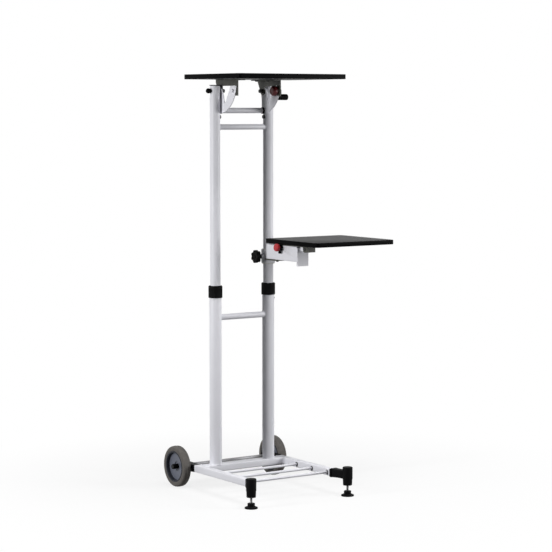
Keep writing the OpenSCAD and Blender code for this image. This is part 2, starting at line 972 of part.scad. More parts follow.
module arm_collar() {
    color(powder_white)
        in_place()
            translate([arm_x, 0, 0])
                difference() {
                    union() {
                        translate([0, 0, collar_low])
                            cylinder(d1 = collar_d - collar_chamfer / 2, d2 = collar_d, h = collar_chamfer);
                        translate([0, 0, collar_low + collar_chamfer])
                            cylinder(d = collar_d, h = collar_h - collar_chamfer);
                        rod_x(-collar_d / 2 - knob_boss_len, 0, arm_z, knob_boss_d, collar_d / 2);
                    }
                    translate([0, 0, collar_low - over])
                        cylinder(d = bush_d + 2 * run_gap, h = collar_h + 2 * over);
                    rod_x(-collar_d, 0, arm_z, knob_screw_d + 2 * run_gap, collar_d);
                }
}

// Box tube with a slot in its roof for the tilt plate and a cross hole for the clamp bolt
module arm_tube() {
    color(powder_white)
        in_place()
            difference() {
                translate([arm_x - arm_w / 2, -arm_reach, arm_low])
                    cube([arm_w, arm_reach - arm_start, arm_h]);
                translate([arm_x - arm_w / 2 + arm_wall, -arm_reach - over, arm_low + arm_wall])
                    cube([arm_w - 2 * arm_wall, arm_reach - arm_start + 2 * over, arm_h - 2 * arm_wall]);
                translate([arm_x, 0, collar_low - over])
                    cylinder(d = collar_d, h = collar_h + over);
                translate([arm_x - plate_slot_w / 2, -shelf_clamp_reach - arc_plate_half - plate_slot_play / 2,
                        arm_top - arm_wall - over])
                    cube([plate_slot_w, 2 * arc_plate_half + plate_slot_play, arm_wall + 2 * over]);
                rod_x(arm_x - arm_w, -shelf_clamp_reach, shelf_clamp_z, bolt_d + 2 * run_gap, 2 * arm_w);
            }
}

// Front plate of the arm with the tongue that carries the hinge pin
module arm_end_plate() {
    plate_low = arm_low - end_plate_drop;
    plate_top = arm_top - end_plate_rise;
    color(powder_white)
        in_place()
            difference() {
                union() {
                    translate([arm_x - arm_w / 2, -arm_reach - end_plate_t, plate_low])
                        cube([arm_w, end_plate_t, plate_top - plate_low]);
                    side_plate(arm_x + tongue_w / 2, tongue_w) {
                        translate([arm_reach + end_plate_t - over, hinge_z - tongue_r + blend_step])
                            square([hinge_reach - arm_reach - end_plate_t + over,
                                tongue_r - blend_step + tongue_crown]);
                        translate([hinge_reach, hinge_z])
                            intersection() {
                                circle(tongue_r);
                                translate([-tongue_r - over, -tongue_r - over])
                                    square([2 * (tongue_r + over), tongue_r + over + tongue_crown]);
                            }
                    }
                }
                rod_x(arm_x - arm_w, -hinge_reach, hinge_z, hinge_pin_d, 2 * arm_w);
            }
}

module arm_gusset() {
    color(plate_olive)
        in_place()
            difference() {
                translate([arm_x - gusset_w / 2, -gusset_reach, arm_low - gusset_t])
                    cube([gusset_w, gusset_reach, gusset_t]);
                translate([arm_x, 0, collar_low])
                    cylinder(d = collar_d, h = collar_h);
            }
}

module hinge_pin() {
    half = tongue_w / 2 + seat_gap + clevis_t;
    color(steel_grey)
        in_place() {
            rod_x(arm_x - half - seat_gap, -hinge_reach, hinge_z, hinge_pin_d, 2 * (half + seat_gap));
            for (x = [-half - seat_gap - pin_head, half + seat_gap])
                rod_x(arm_x + x, -hinge_reach, hinge_z, hinge_pin_d + 2 * pin_head, pin_head);
        }
}

module star_knob() {
    color(plastic_black)
        in_place()
            translate([arm_x - knob_stand, 0, arm_z])
                rotate([0, -90, 0])
                    difference() {
                        union() {
                            translate([0, 0, -star_hub_len])
                                cylinder(d = star_hub_d, h = star_hub_len + over);
                            linear_extrude(star_t) {
                                circle(d = star_core_d);
                                for (i = [0 : star_lobes - 1])
                                    rotate((i + lobe_turn_share) * 360 / star_lobes)
                                        translate([(star_d - lobe_d) / 2, 0])
                                            circle(d = lobe_d);
                            }
                        }
                        translate([0, 0, -star_hub_len - over])
                            cylinder(d = knob_screw_d, h = star_hub_len + over + star_t / 2);
                    }
}

module knob_screw() {
    tip = inner_d / 2 + seat_gap;
    color(steel_grey)
        in_place()
            rod_x(arm_x - knob_stand - star_t / 2, 0, arm_z, knob_screw_d, knob_stand + star_t / 2 - tip);
}

// Shelf carrier: a plate under the board, a clevis on the hinge pin and a slotted plate in the arm
module shelf_bracket() {
    clevis_inner = tongue_w / 2 + seat_gap;
    clevis_web_low = hinge_z - clevis_r + blend_step;
    color(plate_olive)
        in_place()
            difference() {
                union() {
                    translate([arm_x - shelf_plate_w / 2, -shelf_plate_front, shelf_under - shelf_plate_t])
                        cube([shelf_plate_w, shelf_plate_front - shelf_plate_back, shelf_plate_t]);
                    for (x = [-clevis_inner, clevis_inner + clevis_t])
                        side_plate(arm_x + x, clevis_t)
                            intersection() {
                                union() {
                                    translate([hinge_reach, hinge_z])
                                        circle(clevis_r);
                                    translate([hinge_reach - clevis_r + blend_step, hinge_z])
                                        square([2 * (clevis_r - blend_step), shelf_under - hinge_z]);
                                    translate([hinge_reach, clevis_web_low])
                                        square([shelf_plate_front - hinge_reach, shelf_under - clevis_web_low]);
                                }
                                translate([hinge_reach - clevis_r - over, hinge_z - clevis_r - over])
                                    square([2 * (clevis_r + over) + clevis_web_t, shelf_under - hinge_z + clevis_r + over]);
                            }
                    translate([arm_x - clevis_inner - clevis_t, -shelf_plate_front, clevis_web_low])
                        cube([2 * (clevis_inner + clevis_t), clevis_web_t, shelf_under - clevis_web_low]);
                    side_plate(arm_x + arc_plate_t / 2, arc_plate_t)
                        tilt_plate_outline();
                }
                rod_x(arm_x - arm_w, -hinge_reach, hinge_z, hinge_pin_d + 2 * run_gap, 2 * arm_w);
                for (spot = shelf_screw_spots())
                    translate([spot[0], spot[1], shelf_under - shelf_plate_t]) {
                        cylinder(d = screw_d, h = 2 * shelf_plate_t);
                        translate([0, 0, -over])
                            cylinder(d = screw_head_d, h = shelf_head_h + over);
                    }
            }
}

module tilt_plate_outline() {
    difference() {
        translate([shelf_clamp_reach - arc_plate_half, arc_plate_low])
            square([2 * arc_plate_half, shelf_under - arc_plate_low]);
        translate([hinge_reach, hinge_z])
            arc_slot(shelf_slot_r, bolt_d + 2 * slot_play, 180 + shelf_slot_angle,
                180 + shelf_slot_angle + shelf_tilt_max);
    }
}

// Screws of the shelf, clear of the arm's slot and of the clevis
function shelf_screw_spots() = [
    for (sx = [-1, 1], end = [shelf_screw_back_share, shelf_screw_front_share])
        [arm_x + sx * shelf_plate_w * shelf_screw_side_share,
            -shelf_plate_back - (shelf_plate_front - shelf_plate_back) * end]
];

module shelf_board() {
    color(board_black)
        in_place()
            difference() {
                translate([shelf_mid_x, shelf_mid_y, shelf_under])
                    linear_extrude(shelf_t)
                        rounded_rect(shelf_w - 2 * edging_t, shelf_l - 2 * edging_t, board_corner_r - edging_t);
                for (spot = shelf_screw_spots())
                    translate([spot[0], spot[1], shelf_under - over])
                        cylinder(d = screw_d, h = screw_depth + over);
            }
}

module shelf_edge() {
    color(plastic_black)
        in_place()
            translate([shelf_mid_x, shelf_mid_y, shelf_under])
                board_edge(shelf_w, shelf_l, shelf_t);
}

module shelf_screws() {
    color(steel_grey)
        in_place()
            for (spot = shelf_screw_spots())
                translate([spot[0], spot[1], shelf_under - shelf_plate_t]) {
                    cylinder(d = screw_d, h = shelf_plate_t + screw_depth);
                    cylinder(d = screw_head_d, h = shelf_head_h);
                }
}

module shelf_clamp_cap() {
    cap_x = arm_x - arm_w / 2 - seat_gap - knob_body_t;
    color(clamp_red)
        in_place() {
            rod_x(cap_x - knob_cap_t, -shelf_clamp_reach, shelf_clamp_z, shelf_cap_d, knob_cap_t);
            translate([cap_x - knob_cap_t - knob_cap_dome, -shelf_clamp_reach, shelf_clamp_z])
                rotate([0, 90, 0])
                    cylinder(d1 = shelf_cap_d - 2 * knob_cap_dome, d2 = shelf_cap_d, h = knob_cap_dome);
        }
}

// Clamp bolt through the arm with the black knob body and its short lever
module shelf_clamp_knob() {
    face = arm_x - arm_w / 2 - seat_gap;
    far_face = arm_x + arm_w / 2 + seat_gap;
    color(plastic_black)
        in_place()
            translate([0, -shelf_clamp_reach, shelf_clamp_z]) {
                rod_x(face - knob_body_t, 0, 0, knob_body_d, knob_body_t);
                translate([face - knob_body_t / 2, 0, -knob_lever_len])
                    cylinder(d = knob_lever_d, h = knob_lever_len);
                rod_x(face - over, 0, 0, bolt_d, far_face - face + 2 * over);
                rod_x(far_face, 0, 0, bolt_head_d, bolt_head_h);
            }
}

side_rail(-1);  // side_rail_left
side_rail(1);  // side_rail_right
rear_beam();
tray_rods();
rod_grommets();
outer_post(-1);  // outer_post_left
outer_post(1);  // outer_post_right
lower_crossbar();
guide_bushes();
wheel_brackets();
axle();
axle_caps();
foot_elbows();
foot_inserts();
stop_screw();
wheel_rim(-1);  // wheel_rim_left
wheel_rim(1);  // wheel_rim_right
tyre(-1);  // tyre_left
tyre(1);  // tyre_right
wheel_bush(-1);  // wheel_bush_left
wheel_bush(1);  // wheel_bush_right
lock_collar(-1);  // lock_collar_left
lock_collar(1);  // lock_collar_right
foot_pad(-1);  // foot_pad_left
foot_pad(1);  // foot_pad_right
foot_stud(-1);  // foot_stud_left
foot_stud(1);  // foot_stud_right
inner_post(-1);  // inner_post_left
inner_post(1);  // inner_post_right
slider_bushes();
post_caps();
upper_crossbar();
head_crossbar();
yoke_plate(-1);  // yoke_plate_left
yoke_plate(1);  // yoke_plate_right
pivot_bolts();
pivot_caps();
plate_bolts();
table_bracket(-1);  // table_bracket_left
table_bracket(1);  // table_bracket_right
table_board();
table_edge();
table_screws();
table_clamp_cap();
table_clamp_crank();
arm_bush_rings();
arm_collar();
arm_tube();
arm_end_plate();
arm_gusset();
hinge_pin();
star_knob();
knob_screw();
shelf_bracket();
shelf_board();
shelf_edge();
shelf_screws();
shelf_clamp_cap();
shelf_clamp_knob();
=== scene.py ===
"""Looks of a tall projector cart: white tube frame, black boards, olive brackets and red clamp caps.

Lengths are in metres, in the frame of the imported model. Places and main sizes come from its nodes.
Local axes of a shape: Z runs along its axis, X points up where the axis is level.
"""

import json
import math

import bmesh
import bpy
from mathutils import Matrix, Vector

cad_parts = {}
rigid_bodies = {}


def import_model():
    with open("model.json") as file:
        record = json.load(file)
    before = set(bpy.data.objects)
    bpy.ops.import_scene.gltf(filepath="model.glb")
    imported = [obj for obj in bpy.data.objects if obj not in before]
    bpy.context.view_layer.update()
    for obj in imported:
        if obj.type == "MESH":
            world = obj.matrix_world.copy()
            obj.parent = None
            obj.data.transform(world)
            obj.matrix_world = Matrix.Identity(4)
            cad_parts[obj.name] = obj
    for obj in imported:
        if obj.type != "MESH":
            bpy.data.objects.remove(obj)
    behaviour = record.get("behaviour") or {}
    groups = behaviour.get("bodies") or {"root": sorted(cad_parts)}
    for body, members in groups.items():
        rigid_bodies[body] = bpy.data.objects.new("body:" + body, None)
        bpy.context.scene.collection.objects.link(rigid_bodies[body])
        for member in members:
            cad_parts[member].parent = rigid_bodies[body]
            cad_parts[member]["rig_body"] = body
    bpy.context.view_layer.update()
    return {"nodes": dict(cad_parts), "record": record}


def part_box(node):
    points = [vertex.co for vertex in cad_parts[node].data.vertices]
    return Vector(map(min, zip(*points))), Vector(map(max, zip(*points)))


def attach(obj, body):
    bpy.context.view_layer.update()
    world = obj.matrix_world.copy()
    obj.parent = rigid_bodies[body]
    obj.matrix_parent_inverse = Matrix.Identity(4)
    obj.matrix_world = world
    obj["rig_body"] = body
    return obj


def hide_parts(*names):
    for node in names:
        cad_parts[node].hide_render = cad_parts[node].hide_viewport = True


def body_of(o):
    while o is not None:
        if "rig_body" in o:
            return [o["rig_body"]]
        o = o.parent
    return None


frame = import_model()

SLOTS = {part["node"]: part["material_slot"] for part in frame["record"]["subparts"]}
MM = 0.001
UP = Vector((0, 0, 1))
SHARP_ANGLE = math.radians(32)
SLIP = 0.1 * MM  # room round a pin, post or thread in its bore
GAP = 0.3 * MM  # air between a plate and the knob, crank or bolt head beside it
RIPPLE, RIPPLE_PITCH = 0.14, 1.9 * MM  # of the welds: share of the radius, and distance between ripples


# ---------------------------------------------------------------- places


def low(node):
    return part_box(node)[0]


def high(node):
    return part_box(node)[1]


def mid(node):
    return (low(node) + high(node)) / 2


def extent(node):
    return high(node) - low(node)


def placed(origin, along):
    """Matrix that puts a shape's local Z along a direction, and its local X up.

    Where the direction is upright, the local X is along the X axis.
    """
    z = Vector(along).normalized()
    x = Vector((1, 0, 0)) if abs(z.z) > 0.9 else UP
    x = (x - z * x.dot(z)).normalized()
    turn = Matrix((x, z.cross(x), z)).transposed().to_4x4()
    return Matrix.Translation(Vector(origin)) @ turn


def upright(x, y, z=0):
    return placed((x, y, z), UP)


def sideways(x, y, z, side=1):
    return placed((x, y, z), (side, 0, 0))


POST_X = {-1: mid("outer_post_left").x, 1: mid("outer_post_right").x}
SIDES = {-1: "left", 1: "right"}
MIDDLE = Vector(((POST_X[-1] + POST_X[1]) / 2, mid("outer_post_right").y, 0))
INNER_R = extent("inner_post_left").x / 2
OUTER_R = extent("outer_post_left").x / 2
BOLT_R = 4 * MM


# ---------------------------------------------------------------- outlines and loops


def rounded(points, steps=4):
    """Closed outline whose corners are arcs. Each point is x, y and the radius of its corner."""
    made = []
    for i, (x, y, radius) in enumerate(points):
        here = Vector((x, y))
        back = Vector(points[i - 1][:2]) - here
        ahead = Vector(points[(i + 1) % len(points)][:2]) - here
        half = back.angle(ahead) / 2
        if radius <= 0 or half > math.radians(89):
            made.append(here)
            continue
        reach = min(radius / math.tan(half), 0.49 * back.length, 0.49 * ahead.length)
        radius = reach * math.tan(half)
        centre = here + (back.normalized() + ahead.normalized()).normalized() * radius / math.sin(half)
        start = here + back.normalized() * reach - centre
        end = here + ahead.normalized() * reach - centre
        sweep = start.angle(end)
        for k in range(steps + 1):
            share = k / steps
            weight = (math.sin((1 - share) * sweep), math.sin(share * sweep))
            made.append(centre + (start * weight[0] + end * weight[1]) / math.sin(sweep))
    return made


def ring(radius, z, steps=48):
    """Loop about the local Z axis. The radius is a number or a function of the angle."""
    loop = []
    for i in range(steps):
        angle = math.tau * i / steps
        r = radius(angle) if callable(radius) else radius
        loop.append(Vector((r * math.cos(angle), r * math.sin(angle), z)))
    return loop


def rect(width, length, corner, z, steps=6):
    """Loop of a rectangle with round corners, centred on the local Z axis."""
    corner = max(corner, 0.02 * MM)
    x, y = width / 2, length / 2
    outline = rounded([(x, -y, corner), (x, y, corner), (-x, y, corner), (-x, -y, corner)], steps)
    return [Vector((p.x, p.y, z)) for p in outline]


def edge_insets(start, end, edge, steps=3):
    """Pairs of inset and height for a body between two heights whose two end edges are rounded."""
    pairs = []
    for k in range(steps + 1):
        a = math.pi / 2 * k / steps
        pairs.append((edge * (1 - math.sin(a)), edge * (1 - math.cos(a))))
    sign = 1 if end > start else -1
    rising = [(inset, start + sign * rise) for inset, rise in pairs]
    return rising + [(inset, end - sign * rise) for inset, rise in reversed(pairs)]


def skin(bm, loops, place=Matrix(), closed=False):
    """Joins loops with equal numbers of points. An open skin gets flat ends."""
    rows = [[bm.verts.new(place @ p) for p in loop] for loop in loops]
    count = len(rows[0])
    for one, two in zip(rows, rows[1:] + (rows[:1] if closed else [])):
        for i in range(count):
            j = (i + 1) % count
            bm.faces.new((one[i], one[j], two[j], two[i]))
    if not closed:
        bm.faces.new(rows[0][::-1])
        bm.faces.new(rows[-1])


def solid(bm, loop_at, start, end, edge, place=Matrix()):
    """Body between two heights; loop_at gives the loop for an inset and a height."""
    skin(bm, [loop_at(inset, z) for inset, z in edge_insets(start, end, edge)], place)


def hollow(bm, outer_at, inner_at, start, end, edge, place=Matrix()):
    """Tube between two heights with an outer and an inner loop."""
    outside = [outer_at(inset, z) for inset, z in edge_insets(start, end, edge)]
    inside = [inner_at(-inset, z) for inset, z in edge_insets(end, start, edge)]
    skin(bm, outside + inside, place, closed=True)


def rod(bm, radius, start, end, edge, place=Matrix(), steps=48):
    solid(bm, lambda inset, z: ring(radius - inset, z, steps), start, end, edge, place)


def pipe(bm, radius, bore, start, end, edge, place=Matrix(), steps=48):
    hollow(
        bm,
        lambda inset, z: ring(radius - inset, z, steps),
        lambda inset, z: ring(bore - inset, z, steps),
        start, end, edge, place,
    )


def turned(bm, outline, place=Matrix(), steps=64):
    """Ring-shaped body: a closed outline of radius, height and corner radius, turned about local Z."""
    skin(bm, [ring(p.x, p.y, steps) for p in rounded(outline)], place, closed=True)


def button(bm, outline, place=Matrix(), steps=48):
    """Full body: an open outline of radius, height and corner radius, from the lower to the upper middle."""
    skin(bm, [ring(p.x, p.y, steps) for p in rounded(outline) if p.x > 0.2 * MM], place)


def hexagon(inradius):
    """Radius of a hexagon as a function of the angle."""
    part = math.tau / 6
    return lambda a: inradius / math.cos((a + part / 2) % part - part / 2)


def cross(reach, half):
    """Radius of the outline of a cross recess."""

    def radius(a):
        c, s = max(abs(math.cos(a)), 1e-6), max(abs(math.sin(a)), 1e-6)
        return max(min(reach / c, half / s), min(half / c, reach / s))

    return radius


def fluted(radius, count, depth):
    """Radius of a round body with rounded flutes."""
    return lambda a: radius - depth * abs(math.sin(count * a / 2)) ** 3


def rippled(radius, travelled, i):
    """Radius of a weld with the ripples of the torch, a way along it and at its i-th loop."""
    wave = math.sin(math.tau * travelled / RIPPLE_PITCH) + 0.5 * math.sin(i * 1.7)
    return radius * (1 + RIPPLE * wave)


def bead(bm, path, radius=1.5 * MM):
    """Weld bead round a joint."""
    centre = sum(path, Vector()) / len(path)
    travelled = 0.0
    loops = []
    for i, p in enumerate(path):
        ahead = (path[(i + 1) % len(path)] - path[i - 1]).normalized()
        outward = p - centre
        outward = (outward - ahead * outward.dot(ahead)).normalized()
        side = ahead.cross(outward)
        r = rippled(radius, travelled, i)
        turns = [math.tau * k / 8 for k in range(8)]
        loops.append([p + (outward * math.cos(a) + side * math.sin(a)) * r for a in turns])
        travelled += (path[(i + 1) % len(path)] - p).length
    skin(bm, loops, closed=True)


def seam(bm, start, end):
    """Straight weld seam between two places, with thin ends."""
    length, step, tip = (end - start).length, 0.5 * MM, 0.3 * MM
    loops = []
    for i in range(round(length / step) + 1):
        z = step * i
        loops.append(ring(min(rippled(1.4 * MM, z, i), tip + z, tip + length - z), z, 8))
    skin(bm, loops, placed(start, end - start))


def spaced(path):
    """Closed path with points a small step apart."""
    step = 0.75 * MM
    made = []
    for i, p in enumerate(path):
        q = path[(i + 1) % len(path)]
        count = max(1, round((q - p).length / step))
        made += [p.lerp(q, k / count) for k in range(count)]
    return made


def saddle(bar_r, post_r, z, side):
    """Path where a bar along X meets the inner side of a post."""
    path = []
    for k in range(96):
        a = math.tau * k / 96
        y = bar_r * math.cos(a)
        x = POST_X[side] - side * math.sqrt(post_r**2 - y**2)
        path.append(Vector((x, MIDDLE.y + y, z + bar_r * math.sin(a))))
    return path


# ---------------------------------------------------------------- materials


def socket(shader, name, value):
    shader.inputs[name].default_value = value


def link(tree, out, into):
    tree.links.new(out, into)


def noise_node(tree, coords, scale, detail=3.0, stretch=(1, 1, 1)):
    mapping = tree.nodes.new("ShaderNodeMapping")
    mapping.inputs["Scale"].default_value = stretch
    link(tree, coords, mapping.inputs["Vector"])
    noise = tree.nodes.new("ShaderNodeTexNoise")
    noise.inputs["Scale"].default_value = scale
    noise.inputs["Detail"].default_value = detail
    link(tree, mapping.outputs["Vector"], noise.inputs["Vector"])
    return noise.outputs["Fac"]


SPANS = ("From Min", "From Max", "To Min", "To Max")


def ramp(tree, value, from_low, from_high, to_low, to_high):
    node = tree.nodes.new("ShaderNodeMapRange")
    for name, number in zip(SPANS, (from_low, from_high, to_low, to_high)):
        node.inputs[name].default_value = number
    link(tree, value, node.inputs["Value"])
    return node.outputs["Result"]


def blend_colour(tree, share, one, two):
    """Colour between two, by a share. Each is a colour or an output."""
    node = tree.nodes.new("ShaderNodeMix")
    node.data_type = "RGBA"
    for index, value in ((6, one), (7, two)):
        if isinstance(value, tuple):
            node.inputs[index].default_value = (*value, 1)
        else:
            link(tree, value, node.inputs[index])
    link(tree, share, node.inputs[0])
    return node.outputs[2]


def look(
    name, colour, rough, rough_span=0.06, metallic=0.0, specular=0.5, shade=0.06, shade_scale=22.0, tint=None,
    grain=0.02, grain_scale=900.0, grain_stretch=(1, 1, 1), dust=0.0, speck=0.0,
):
    """Procedural finish: uneven shade and roughness, a fine grain in relief, dust and specks."""
    material = bpy.data.materials.new(name)
    material.use_nodes = True
    tree = material.node_tree
    shader = tree.nodes["Principled BSDF"]
    socket(shader, "Metallic", metallic)
    socket(shader, "Specular IOR Level", specular)
    coords = tree.nodes.new("ShaderNodeTexCoord").outputs["Object"]
    darker = tuple(c * (1 - shade) for c in colour)
    other = tint or tuple(min(1.0, c * (1 + shade)) for c in colour)
    broad = noise_node(tree, coords, shade_scale, 4.0)
    paint = blend_colour(tree, ramp(tree, broad, 0.3, 0.7, 0, 1), darker, other)
    if speck:
        dots = noise_node(tree, coords, 1400.0, 2.0)
        dot_colour = tuple(c * 0.45 for c in colour)
        paint = blend_colour(tree, ramp(tree, dots, 0.66, 0.74, 0, speck), paint, dot_colour)
    if dust:
        facing = tree.nodes.new("ShaderNodeSeparateXYZ")
        link(tree, tree.nodes.new("ShaderNodeNewGeometry").outputs["Normal"], facing.inputs[0])
        lay = tree.nodes.new("ShaderNodeMath")
        lay.operation = "MULTIPLY"
        link(tree, ramp(tree, facing.outputs["Z"], 0.2, 1.0, 0, dust), lay.inputs[0])
        link(tree, ramp(tree, noise_node(tree, coords, 60.0, 6.0), 0.35, 0.75, 0.2, 1), lay.inputs[1])
        paint = blend_colour(tree, lay.outputs[0], paint, DUST_COLOUR)
    link(tree, paint, shader.inputs["Base Color"])
    uneven = noise_node(tree, coords, shade_scale * 3, 5.0, grain_stretch)
    uneven = ramp(tree, uneven, 0.3, 0.7, rough - rough_span, rough + rough_span)
    link(tree, uneven, shader.inputs["Roughness"])
    bump = tree.nodes.new("ShaderNodeBump")
    bump.inputs["Distance"].default_value = grain * MM
    link(tree, noise_node(tree, coords, grain_scale, 3.0, grain_stretch), bump.inputs["Height"])
    link(tree, bump.outputs["Normal"], shader.inputs["Normal"])
    return material


DUST_COLOUR = (0.42, 0.41, 0.39)
LOOKS = {
    "frame_white": look(
        "powder_white", (0.80, 0.80, 0.845), 0.42, specular=0.3, shade=0.015, shade_scale=9,
        grain=0.05, grain_scale=520, speck=0.05),
    "plate_olive": look(
        "olive_plate", (0.050, 0.051, 0.041), 0.42, 0.1, specular=0.3, shade=0.16, shade_scale=60,
        tint=(0.066, 0.067, 0.054), grain_scale=1500),
    "black_plastic": look(
        "moulded_black", (0.0025, 0.0025, 0.0028), 0.5, 0.07, specular=0.045, shade=0.25, shade_scale=35,
        grain=0.035, grain_scale=1700, dust=0.008),
    "board_black": look(
        "laminate_black", (0.0035, 0.0035, 0.004), 0.46, 0.015, specular=0.06, shade=0.15, shade_scale=14,
        grain=0.02, grain_scale=1300, dust=0.004),
    "edging_black": look(
        "edging_black", (0.0012, 0.0012, 0.0014), 0.34, 0.05, specular=0.018, shade=0.2, shade_scale=20,
        grain=0.008, grain_scale=800, grain_stretch=(1, 1, 6)),
    "cap_red": look(
        "cap_red", (0.46, 0.022, 0.030), 0.32, specular=0.35, shade=0.08, shade_scale=40,
        grain=0.018, grain_scale=1600, dust=0.02),
    # Darker copy of the red cap plastic: painted shade for the table clamp's cap
    "cap_red_painted_shade": look(
        "cap_red_painted_shade", (0.115, 0.009, 0.011), 0.34, specular=0.3, shade=0.1, shade_scale=40,
        grain=0.018, grain_scale=1600, dust=0.02),
    "tyre_grey": look(
        "tyre_rubber", (0.112, 0.104, 0.096), 0.78, 0.08, specular=0.3, shade=0.14, shade_scale=70,
        grain=0.08, grain_scale=1300, dust=0.1),
    "grommet_rubber": look(
        "grommet_rubber", (0.060, 0.060, 0.062), 0.7, 0.08, specular=0.2, shade=0.14, shade_scale=70,
        grain=0.05, grain_scale=1300, dust=0.05),
    "rim_grey": look(
        "rim_plastic", (0.120, 0.130, 0.165), 0.42, specular=0.35, shade=0.05, shade_scale=30,
        grain_scale=1500, dust=0.04),
    # Near-black copy of the rim plastic: painted shade for the recess of the wheel
    "rim_painted_shade": look(
        "rim_well", (0.018, 0.020, 0.027), 0.5, specular=0.2, shade=0.1, shade_scale=30,
        grain_scale=1500, dust=0.03),
    "steel": look(
        "zinc_steel", (0.62, 0.62, 0.63), 0.28, 0.1, metallic=1.0, shade=0.1, shade_scale=90,
        grain=0.01, grain_scale=700, grain_stretch=(1, 1, 5)),
    "bolt_black": look(
        "oxide_black", (0.010, 0.010, 0.011), 0.4, 0.1, specular=0.25, shade=0.2, shade_scale=120,
        grain=0.015, grain_scale=1800),
    # Darker copy of the zinc steel: painted shade for the foot studs under the elbows
    "steel_painted_shade": look(
        "dark_steel_painted_shade", (0.20, 0.20, 0.20), 0.34, 0.1, metallic=1.0, shade=0.15, shade_scale=90,
        grain=0.01, grain_scale=900),
    # Darker, flat copy of the steel: painted shade for the axle, which lies in shade behind the beam
    "axle_steel_painted_shade": look(
        "axle_steel_painted_shade", (0.30, 0.30, 0.31), 0.5, 0.03, metallic=0.6, shade=0.04, shade_scale=40,
        grain=0.01, grain_scale=900),
    "nylon": look(
        "nylon", (0.70, 0.69, 0.64), 0.46, shade=0.03, shade_scale=40, grain=0.015, grain_scale=1200),
}


# ---------------------------------------------------------------- pieces


def piece(name, bm, nodes, slot=None, finish=None, body=None, bevel=0.0):
    """Makes a shape a piece of the object that stands for CAD nodes, or that is added on a body."""
    nodes = [nodes] if isinstance(nodes, str) else list(nodes)
    slot = slot or SLOTS[nodes[0]]
    body = body or body_of(frame["nodes"][nodes[0]])[0]
    bmesh.ops.recalc_face_normals(bm, faces=bm.faces)
    mesh = bpy.data.meshes.new(name)
    bm.to_mesh(mesh)
    bm.free()
    mesh.shade_smooth()
    mesh.set_sharp_from_angle(angle=SHARP_ANGLE)
    mesh.materials.append(LOOKS[finish or slot])
    made = bpy.data.objects.new(name, mesh)
    bpy.context.scene.collection.objects.link(made)
    if bevel:
        rounding = made.modifiers.new("rounding", "BEVEL")
        rounding.width = bevel
        rounding.segments = 3
        rounding.limit_method = "ANGLE"
        rounding.angle_limit = SHARP_ANGLE
        rounding.harden_normals = True
    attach(made, body)
    if nodes and body_of(frame["nodes"][nodes[0]])[0] == body:
        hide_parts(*nodes)
    return made


def detail(name, bm, body, slot):
    """Small piece that has no CAD node of its own."""
    return piece(name, bm, [], slot=slot, body=body)


def dressed(node, bevel):
    """A CAD node's own shape as a clean mesh with rounded edges."""
    bm = bmesh.new()
    bm.from_mesh(frame["nodes"][node].data)
    bmesh.ops.remove_doubles(bm, verts=bm.verts, dist=0.005 * MM)
    bmesh.ops.dissolve_limit(bm, angle_limit=math.radians(0.8), verts=bm.verts, edges=bm.edges)
    return piece(node + "_shape", bm, node, bevel=bevel)


def cut(obj, cutter_bm):
    """Cuts a shape out of a piece and keeps the result as its mesh."""
    mesh = bpy.data.meshes.new("cutter")
    bmesh.ops.recalc_face_normals(cutter_bm, faces=cutter_bm.faces)
    cutter_bm.to_mesh(mesh)
    cutter_bm.free()
    cutter = bpy.data.objects.new("cutter", mesh)
    bpy.context.scene.collection.objects.link(cutter)
    cutting = obj.modifiers.new("cut", "BOOLEAN")
    cutting.operation = "DIFFERENCE"
    cutting.solver = "EXACT"
    cutting.object = cutter
    bpy.context.view_layer.update()
    result = bpy.data.meshes.new_from_object(obj.evaluated_get(bpy.context.evaluated_depsgraph_get()))
    obj.modifiers.remove(cutting)
    obj.data = result
    bpy.data.objects.remove(cutter)


# ---------------------------------------------------------------- base

RAIL_CORNER = 3 * MM
RAIL_WALL = 1.5 * MM
OUTER_WALL, INNER_WALL = 1.5 * MM, 2 * MM  # of the lower and the upper posts


def box_tube(bm, centre, along, length, width, height, wall, corner=RAIL_CORNER):
    """Rectangular tube with rolled corners; its height is along the local X axis."""
    hollow(
        bm,
        lambda i, z: rect(height - 2 * i, width - 2 * i, corner - i, z),
        lambda i, z: rect(height - 2 * wall - 2 * i, width - 2 * wall - 2 * i, corner - wall - i, z),
        0, length, 0.3 * MM, placed(centre, along),
    )


for side, word in SIDES.items():
    node = "side_rail_" + word
    box, centre = extent(node), mid(node)
    bm = bmesh.new()
    box_tube(bm, (centre.x, low(node).y, centre.z), (0, 1, 0), box.y, box.x, box.z, RAIL_WALL)
    piece("rail_" + word, bm, node)

box, centre = extent("rear_beam"), mid("rear_beam")
bm = bmesh.new()
box_tube(bm, (low("rear_beam").x, centre.y, centre.z), (1, 0, 0), box.x, box.y, box.z, RAIL_WALL)
for x, sign in ((low("rear_beam").x, 1), (high("rear_beam").x, -1)):
    around = sideways(x + sign * 0.4 * MM, centre.y, centre.z)
    bead(bm, spaced([around @ p for p in rect(box.z, box.y, RAIL_CORNER, 0)]))
for side in SIDES:
    around = upright(POST_X[side], MIDDLE.y, high("rear_beam").z + 0.5 * MM)
    bead(bm, [around @ p for p in ring(OUTER_R + 0.4 * MM, 0, 150)])
piece("beam", bm, "rear_beam")

